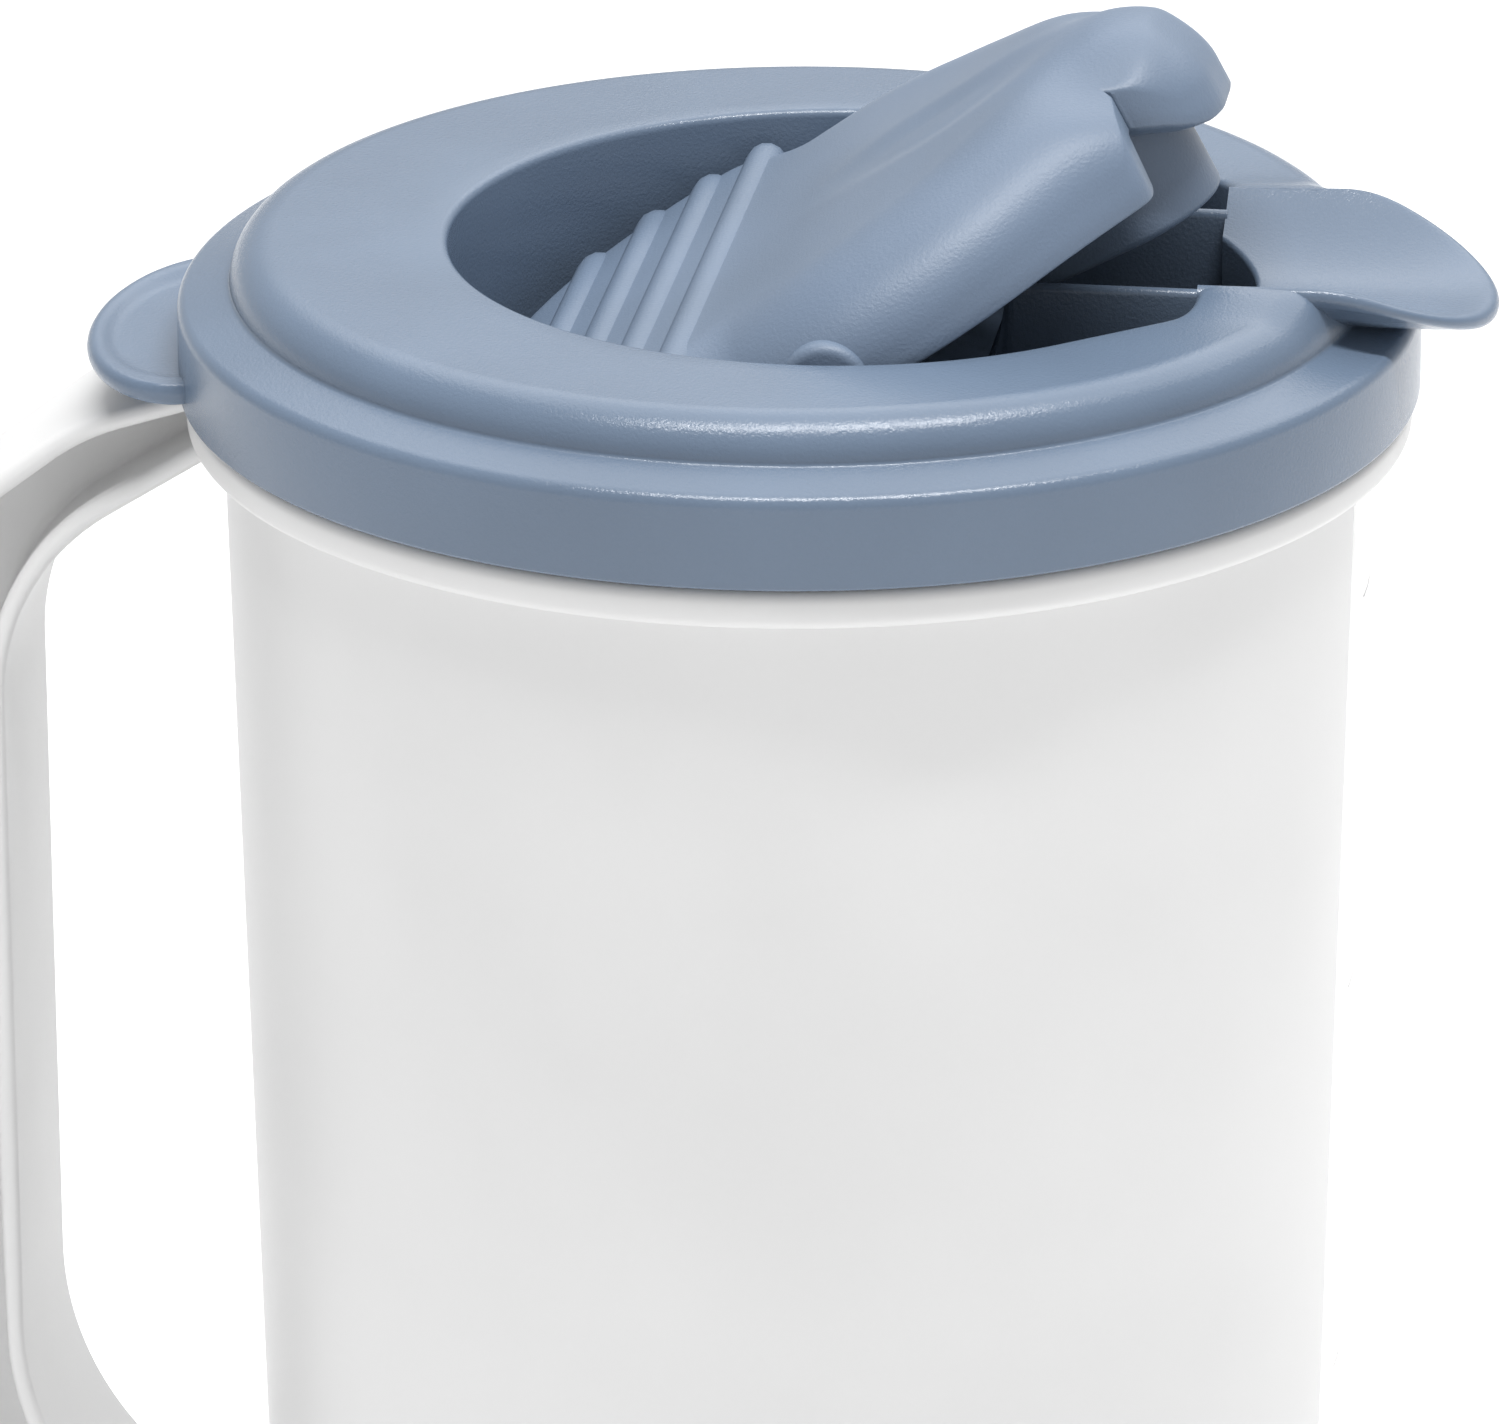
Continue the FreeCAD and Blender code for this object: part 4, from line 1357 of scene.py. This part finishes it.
@dataclass
class Cover:
    """Pillow-shaped rocking cover with a raised tongue, grip ribs, plug wall and pivots."""

    pivot_x: float = 8.3
    pivot_z: float = 216.0
    open_angle: float = math.radians(28.0)
    hub: float = 6.0
    centre: float = -3.8
    radius: float = 40.8
    turn: float = math.radians(50.3)
    top: float = 8.2
    flank_bottom: float = -1.5
    wall: float = 1.8
    shoulder: float = 10.0
    shoulder_spread: float = 13.5
    edge_roll: float = 1.3
    grip_blend: float = 6.0
    front: float = 35.4
    notch: float = 34.7
    grip_front: float = -14.0
    grip_thick: float = 3.8
    tongue_half: float = 11.4
    tongue_front: float = 42.8
    tongue_rise: float = 0.9
    tongue_rise_span: tuple[float, float] = (-6.0, 12.0)
    tongue_spread: float = 16.0
    swell: float = 2.2
    swell_span: tuple[float, float] = (-14.0, 10.0)
    lift: float = 2.6
    lift_span: tuple[float, float] = (6.0, 32.0)
    notch_hollow: float = 2.6
    notch_spread: float = 6.0
    flank_drop: float = 0.9
    flank_drop_span: tuple[float, float] = (4.0, 30.0)
    nose_roll: float = 5.6
    nose_roll_span: tuple[float, float] = (35.5, 41.0)
    nose_bow: float = 0.045
    nose_bow_from: float = 32.5
    nose_round: float = 9.8
    channel_clear: float = 4.4
    dimple: tuple[float, float, float, float] = (13.0, 18.0, 9.0, 0.7)
    rib_count: int = 4
    rib_first: float = -15.4
    rib_pitch: float = 6.35
    rib_half: float = 2.35
    rib_sink: float = 1.45
    plug_half: float = 9.6
    plug_front: float = 37.6
    plug_back: float = 16.0
    plug_bottom: float = -8.3
    boss_radius: float = 4.8
    boss_root: float = 37.6
    boss_face: float = 40.81
    pin_radius: float = 2.2
    pin_tip: float = 44.23
    segments: int = 560
    spans: int = 56

    def place(self) -> Matrix:
        """Matrix from the cover's level frame to where it stands tipped open."""
        shift = Matrix.Translation(Vector((self.pivot_x, 0.0, self.pivot_z)) * MM)
        return shift @ Matrix.Rotation(-self.open_angle, 4, "Y")

    def outline(self, inset: float) -> np.ndarray:
        """Closed plan of the cover with the nose of its tongue, drawn in by inset.

        Args:
            inset: Distance inside the cover's own edge.

        Returns:
            Points of the path.
        """
        radius = self.radius - inset
        touch = np.array([self.centre + radius * math.cos(self.turn), radius * math.sin(self.turn)])
        front = self.front - inset
        tip_y = touch[1] - (front - touch[0]) / math.tan(self.turn)
        notch = self.notch - inset
        half = self.tongue_half - inset
        corners: list[Corner] = [
            (touch[0], touch[1], 0), (front, tip_y, 3.2), (notch, half + 1.0, 0.7),
            (self.tongue_front - inset, half, self.nose_round - inset)]
        mirrored = [(s, -y, r) for s, y, r in reversed(corners)]
        lead = rounded_path(corners + mirrored, 10)
        angles = np.linspace(-self.turn, -2 * math.pi + self.turn, 160)[1:-1]
        arc = np.stack([self.centre + radius * np.cos(angles), radius * np.sin(angles)], axis=1)
        return np.concatenate([lead, arc])

    def heights(self, places: np.ndarray, inset: float) -> np.ndarray:
        """Level of the cover's skin, drawn in by inset.

        Args:
            places: Plan points (s, y).
            inset: Distance inside the outer skin.

        Returns:
            One level per point.
        """
        s = places[:, 0]
        aside = np.abs(places[:, 1])
        plan = self.outline(inset)
        gap = np.where(inside_path(plan, places), distance_to(plan, places), 0.0)
        sides = self.side_plan(inset)
        side_gap = np.where(inside_path(sides, places), distance_to(sides, places), 0.0)
        rear = 1 - smooth_step(s, self.grip_front - self.grip_blend, self.grip_front + self.grip_blend)
        shoulder = self.shoulder + (self.grip_thick - self.shoulder) * rear - inset
        spread = self.shoulder_spread + (self.grip_thick - self.shoulder_spread) * rear - inset
        edge = self.edge_roll + (self.nose_roll - self.edge_roll) * smooth_step(s, *self.nose_roll_span)
        edge = np.maximum(edge - inset, 0.6)
        drop = np.hypot(quarter_round(side_gap * (shoulder / spread), shoulder), quarter_round(gap, edge))
        crown = self.top + self.swell * smooth_step(s, *self.swell_span) - inset
        crown = crown + self.lift * smooth_step(s, *self.lift_span)
        ridge = np.exp(-((aside / self.tongue_spread) ** 2))
        middle = self.tongue_rise * smooth_step(s, *self.tongue_rise_span) * ridge
        bow = self.nose_bow * np.maximum(s - self.nose_bow_from, 0.0) ** 2
        along, long, wide, deep = self.dimple
        oval = np.hypot((s - along) / long, aside / wide)
        dip = deep * (1 - smooth_step(oval, 0.35, 1.0)) if inset == 0 else 0.0
        from_notch = np.hypot(s - self.notch, aside - self.tongue_half - 1.6)
        hollow = self.notch_hollow * np.exp(-((from_notch / self.notch_spread) ** 2))
        return crown + middle - bow - drop - dip - hollow

    def side_plan(self, inset: float) -> np.ndarray:
        """Closed plan of the cover's round back and straight flanks, run on to a point.

        Args:
            inset: Distance inside the cover's own edge.

        Returns:
            Points of the path.
        """
        radius = self.radius - inset
        point = self.centre + radius / math.cos(self.turn)
        angles = np.linspace(self.turn, 2 * math.pi - self.turn, 160)
        arc = np.stack([self.centre + radius * np.cos(angles), radius * np.sin(angles)], axis=1)
        return np.concatenate([arc, [[point, 0.0]]])

    def bottoms(self, places: np.ndarray) -> np.ndarray:
        """Level of the flank's lower edge at points of the outline.

        Args:
            places: Plan points (s, y).

        Returns:
            One level per point.
        """
        s = places[:, 0]
        rear = 1 - smooth_step(s, self.grip_front - 1.5, self.grip_front + 0.5)
        middle = (1 - smooth_step(np.abs(places[:, 1]), 14.6, 17.4)) * smooth_step(s, 30.0, 33.0)
        droop = np.interp(
            s, [self.notch, 38.0, 40.0, 41.8, self.tongue_front],
            [self.channel_clear, 2.8, 1.4, 0.4, 0.1])
        flank = self.flank_bottom - self.flank_drop * (1 - smooth_step(s, *self.flank_drop_span))
        level = flank + (droop - flank) * middle
        return level + (self.top - self.grip_thick - level) * rear

    def bearings(self) -> np.ndarray:
        """Bearings of even steps along the cover's edge, seen from its hub.

        Returns:
            The bearings in rising order.
        """
        fine = closed_evenly(self.outline(0.0), 2399)
        offsets = closed_evenly(fine, self.segments) - (self.hub, 0.0)
        return np.sort(np.mod(np.arctan2(offsets[:, 1], offsets[:, 0]), 2 * math.pi))

    def star(self, path: np.ndarray, bearings: np.ndarray) -> np.ndarray:
        """Points where rays from the cover's hub meet a closed path.

        Args:
            path: Points of the path.
            bearings: Bearings of the rays.

        Returns:
            One point per ray.
        """
        offsets = closed_evenly(path, 2399) - (self.hub, 0.0)
        known = np.mod(np.arctan2(offsets[:, 1], offsets[:, 0]), 2 * math.pi)
        order = np.argsort(known)
        reach = np.hypot(offsets[:, 0], offsets[:, 1])[order]
        out = np.interp(bearings, known[order], reach, period=2 * math.pi)
        return np.stack([self.hub + out * np.cos(bearings), out * np.sin(bearings)], axis=1)

    def skin(self) -> bpy.types.Mesh:
        """Skin the cover's top, rolled edges, flanks and hollow underside.

        Returns:
            The mesh.
        """
        hub = np.array([self.hub, 0.0])
        bearings = self.bearings()
        outer = self.star(self.outline(0.0), bearings)
        inner = self.star(self.outline(self.wall), bearings)
        eased = np.linspace(0.0, 1.0, self.spans)
        shares = 1 - (1 - eased) ** 1.7
        draft = MeshDraft()
        rings = []
        for share in shares:
            places = hub + (outer - hub) * share
            rings.append(draft.ring(np.column_stack([places, self.heights(places, 0.0)])))
        lower = self.bottoms(outer)
        edge = self.heights(outer, 0.0)
        lower = np.minimum(lower, edge - 0.05)
        for share in (0.5, 1.0):
            level = edge + (lower + 0.4 - edge) * share
            level = np.minimum(level, edge - 0.02 * share)
            rings.append(draft.ring(np.column_stack([outer, level])))
        inward = (inner - outer) / np.linalg.norm(inner - outer, axis=1)[:, None]
        rings.append(draft.ring(np.column_stack([outer + inward * 0.15, lower + 0.12])))
        rings.append(draft.ring(np.column_stack([outer + inward * 0.45, lower])))
        rings.append(draft.ring(np.column_stack([inner - inward * 0.3, lower])))
        grip_level = self.top - self.grip_thick
        for share in shares[::-2]:
            places = hub + (inner - hub) * share
            level = self.heights(places, self.wall)
            rear = 1 - smooth_step(places[:, 0], self.grip_front - 0.8, self.grip_front)
            level = level + (np.minimum(level, grip_level + 0.02) - level) * rear
            floor = self.bottoms(places) + 0.02
            rings.append(draft.ring(np.column_stack([places, np.maximum(level, floor)])))
        return draft.body("cover_skin", rings, self.place())

    def plug(self) -> bpy.types.Mesh:
        """U-shaped wall that closes the well.

        Returns:
            The mesh.
        """
        half = self.plug_half - self.wall / 2
        nose = self.plug_front - self.plug_half
        angles = np.linspace(-math.pi / 2, math.pi / 2, 48)
        arc = np.stack([nose + half * np.cos(angles), half * np.sin(angles)], axis=1)
        path = np.concatenate([[[self.plug_back, -half]], arc, [[self.plug_back, half]]])
        path = evenly(path, 121)
        skin = self.heights(path, self.wall)
        lower_edge = np.full(len(path), -self.plug_bottom)
        turned_over = Matrix.Diagonal((1, 1, -1, 1))
        return WallSweep(self.wall).mesh(
            "cover_plug_wall", path, -(skin + 0.6), lower_edge, self.place() @ turned_over)

    def boss(self, side: int) -> bpy.types.Mesh:
        """Pivot boss and pin on one flank.

        Args:
            side: -1 for the near flank and 1 for the far one.

        Returns:
            The mesh.
        """
        profile = rounded_path([
            (0, self.boss_root, 0), (self.boss_radius, self.boss_root, 0),
            (self.boss_radius, self.boss_face, 1.1), (self.pin_radius, self.boss_face, 0.2),
            (self.pin_radius, self.pin_tip, 0.6), (0, self.pin_tip, 0)], 6, closed=True)
        turn = Matrix.Rotation(-side * math.pi / 2, 4, "X")
        name = "cover_pivot_boss_near" if side < 0 else "cover_pivot_boss_far"
        return turned_mesh(name, profile, 72, self.place() @ turn)

    def ribs(self, material: bpy.types.Material) -> bpy.types.Mesh:
        """Grow the grip ribs over the rear of the cover with Geometry Nodes.

        Args:
            material: Finish of the ribs.

        Returns:
            The baked mesh.
        """
        lengths = {
            "First station": self.rib_first * MM, "Pitch": self.rib_pitch * MM,
            "Bar radius": self.rib_half * MM, "Plate centre": self.centre * MM,
            "Plate radius": self.radius * MM, "Top level": (self.top - self.rib_sink) * MM,
            "Edge roll": self.grip_thick * MM, "Edge margin": 1.2 * MM,
        }
        grower = RowGrower("cover_grip_ribs", self.rib_count, lengths, material)
        return grower.grow(self.shape_ribs, self.place())

    @staticmethod
    def shape_ribs(bench: NodeBench, sizes: dict[str, Wire], count: Wire) -> tuple[Wire, Wire]:
        """Lay one bar per rib across the round plate and over its rolled edge.

        Args:
            bench: Bench of the geometry tree.
            sizes: Named lengths of the tree.
            count: Number of ribs.

        Returns:
            The laid curves and the share of the bar's radius along them.
        """
        start = bench.vector(X=sizes["First station"])
        pitch = bench.vector(X=0.0 - sizes["Pitch"])
        curves = RowGrower.bars(bench, count, start, pitch, sizes["Plate radius"], 72)
        x, straight = bench.parts(bench.out("GeometryNodeInputPosition", {}))[:2]
        behind = x - sizes["Plate centre"]
        reach = sizes["Plate radius"] - sizes["Edge margin"]
        y = straight / sizes["Plate radius"] * bench.math("SQRT", reach * reach - behind * behind)
        from_hub = bench.math("SQRT", behind * behind + y * y)
        roll = sizes["Edge roll"]
        short = bench.math("MAXIMUM", roll - (sizes["Plate radius"] - from_hub), 0.0)
        z = sizes["Top level"] - roll + bench.math("SQRT", roll * roll - short * short)
        moved = RowGrower.laid(bench, curves, bench.vector(X=x, Y=y, Z=z))
        now_x, now_y = bench.parts(bench.out("GeometryNodeInputPosition", {}))[:2]
        behind = now_x - sizes["Plate centre"]
        chord = bench.math("SQRT", reach * reach - behind * behind)
        from_end = chord - bench.math("ABSOLUTE", now_y)
        return moved, RowGrower.rounded_end(bench, from_end, sizes["Bar radius"])

    def build(self, shop: Workshop) -> None:
        """Build and dress every piece of the cover.

        Args:
            shop: Workshop that finishes the pieces.
        """
        shop.piece(self.skin(), Body.COVER, Slot.COVER, ["cover_plate", "cover_tongue"])
        shop.piece(self.plug(), Body.COVER, Slot.COVER, ["cover_plug"])
        shop.piece(self.ribs(shop.materials[Slot.COVER]), Body.COVER, Slot.COVER, [
            f"cover_grip_rib_{number}" for number in range(1, self.rib_count + 1)])
        shop.piece(self.boss(-1), Body.COVER, Slot.COVER, ["cover_pivot_near"])
        shop.piece(self.boss(1), Body.COVER, Slot.COVER, ["cover_pivot_far"])


# The studio


@dataclass
class Studio:
    """White floor, soft lights and the camera of the photograph."""

    azimuth: float = math.radians(7.9)
    elevation: float = math.radians(19.483)
    distance: float = 1200.0
    aim_height: float = 203.0
    pitch: float = math.radians(1.73)
    yaw: float = math.radians(-0.259)
    roll: float = math.radians(-0.178)
    focal_pixels: float = 11168.0
    image_width: float = 1500.0
    sensor: float = 36.0
    floor_reach: float = 4000.0
    floor_white: float = 0.94
    air_strength: float = 0.55

    def floor(self) -> None:
        """Lay the floor as one large sheet, just below the jug's foot."""
        draft = MeshDraft()
        spots = np.linspace(-self.floor_reach, self.floor_reach, 9)
        rows = [draft.ring((x, y, -0.05) for x in spots) for y in spots]
        draft.skin(rows, closed=False)
        mesh = draft.mesh("studio_floor")
        made = bpy.data.objects.new("studio_floor", mesh)
        bpy.context.scene.collection.objects.link(made)
        white = self.floor_white
        mesh.materials.append(PaleFloor("studio_white", (white, white, white, 1.0)).build())
        made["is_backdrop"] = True

    def world(self) -> None:
        """Fill the room with even white light."""
        world = bpy.data.worlds.new("studio_air")
        world.use_nodes = True
        air = world.node_tree.nodes["Background"]
        air.inputs["Color"].default_value = (1.0, 1.0, 1.0, 1.0)
        air.inputs["Strength"].default_value = self.air_strength
        bpy.context.scene.world = world

    def softbox(self, place: Point, aim: Point, size: tuple[float, float], power: float) -> None:
        """Hang a soft rectangular light.

        Args:
            place: Position in metres.
            aim: Point that it faces, in metres.
            size: Width and height in metres.
            power: Watts.
        """
        data = bpy.data.lights.new("key_softbox", "AREA")
        data.shape = "RECTANGLE"
        data.size, data.size_y = size
        data.energy = power
        lamp = bpy.data.objects.new("key_softbox", data)
        lamp.location = place
        facing = Vector(aim) - Vector(place)
        lamp.rotation_euler = facing.to_track_quat("-Z", "Y").to_euler()
        bpy.context.scene.collection.objects.link(lamp)

    def glow(self, strength: float, spread: float, lean: tuple[float, float]) -> None:
        """Add broad light from overhead.

        Args:
            strength: Watts per square metre.
            spread: Degrees of sky that it comes from.
            lean: Degrees that it leans about X and Y.
        """
        data = bpy.data.lights.new("overhead_glow", "SUN")
        data.energy = strength
        data.angle = math.radians(spread)
        lamp = bpy.data.objects.new("overhead_glow", data)
        lamp.rotation_euler = (math.radians(lean[0]), math.radians(lean[1]), 0.0)
        bpy.context.scene.collection.objects.link(lamp)

    def camera(self) -> None:
        """Set the camera where the photograph was taken from."""
        tilt = self.elevation + self.pitch
        forward = np.array([0.0, math.cos(tilt), -math.sin(tilt)])
        right = np.array([1.0, 0.0, 0.0])
        up = np.array([0.0, math.sin(tilt), math.cos(tilt)])
        ahead = math.cos(self.yaw) * forward + math.sin(self.yaw) * right
        side = math.cos(self.yaw) * right - math.sin(self.yaw) * forward
        level = math.cos(self.roll) * side + math.sin(self.roll) * up
        head = math.cos(self.roll) * up - math.sin(self.roll) * side
        turn = Matrix.Rotation(self.azimuth, 4, "Z")
        axes = Matrix((level, head, -ahead)).transposed().to_4x4()
        flat = self.distance * math.cos(self.elevation)
        spot = Vector((
            flat * math.sin(self.azimuth), -flat * math.cos(self.azimuth),
            self.aim_height + self.distance * math.sin(self.elevation))) * MM
        data = bpy.data.cameras.new("photo_camera")
        data.sensor_width = self.sensor
        data.lens = self.sensor * self.focal_pixels / self.image_width
        data.clip_start = 0.05
        data.clip_end = 50.0
        made = bpy.data.objects.new("photo_camera", data)
        made.matrix_world = Matrix.Translation(spot) @ turn @ axes
        bpy.context.scene.collection.objects.link(made)
        bpy.context.scene.camera = made

    def build(self) -> None:
        """Set up floor, air, lights, camera and plain colour handling."""
        self.floor()
        self.world()
        self.softbox((0.12, -0.30, 1.50), aim=(0.0, 0.0, 0.2), size=(1.1, 0.07), power=22.0)
        self.glow(strength=2.0, spread=75.0, lean=(-30.0, 6.0))
        self.camera()
        view = bpy.context.scene.view_settings
        view.view_transform = "Standard"
        view.look = "None"


def corners(box: tuple[Vector, Vector]) -> list[list[float]]:
    """Turn a box into plain lists of numbers."""
    return [[float(part) for part in corner] for corner in box]


def main() -> None:
    """Build the pitcher on its frame."""
    logging.basicConfig(level=logging.INFO, format="%(message)s")
    cad_box = corners(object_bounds())
    shop = Workshop(frame["nodes"])
    Jug().build(shop)
    Lid().build(shop)
    Cover().build(shop)
    Studio().build()
    {"cad": cad_box, "visual": corners(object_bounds())}


if __name__ == "__main__":
    main()
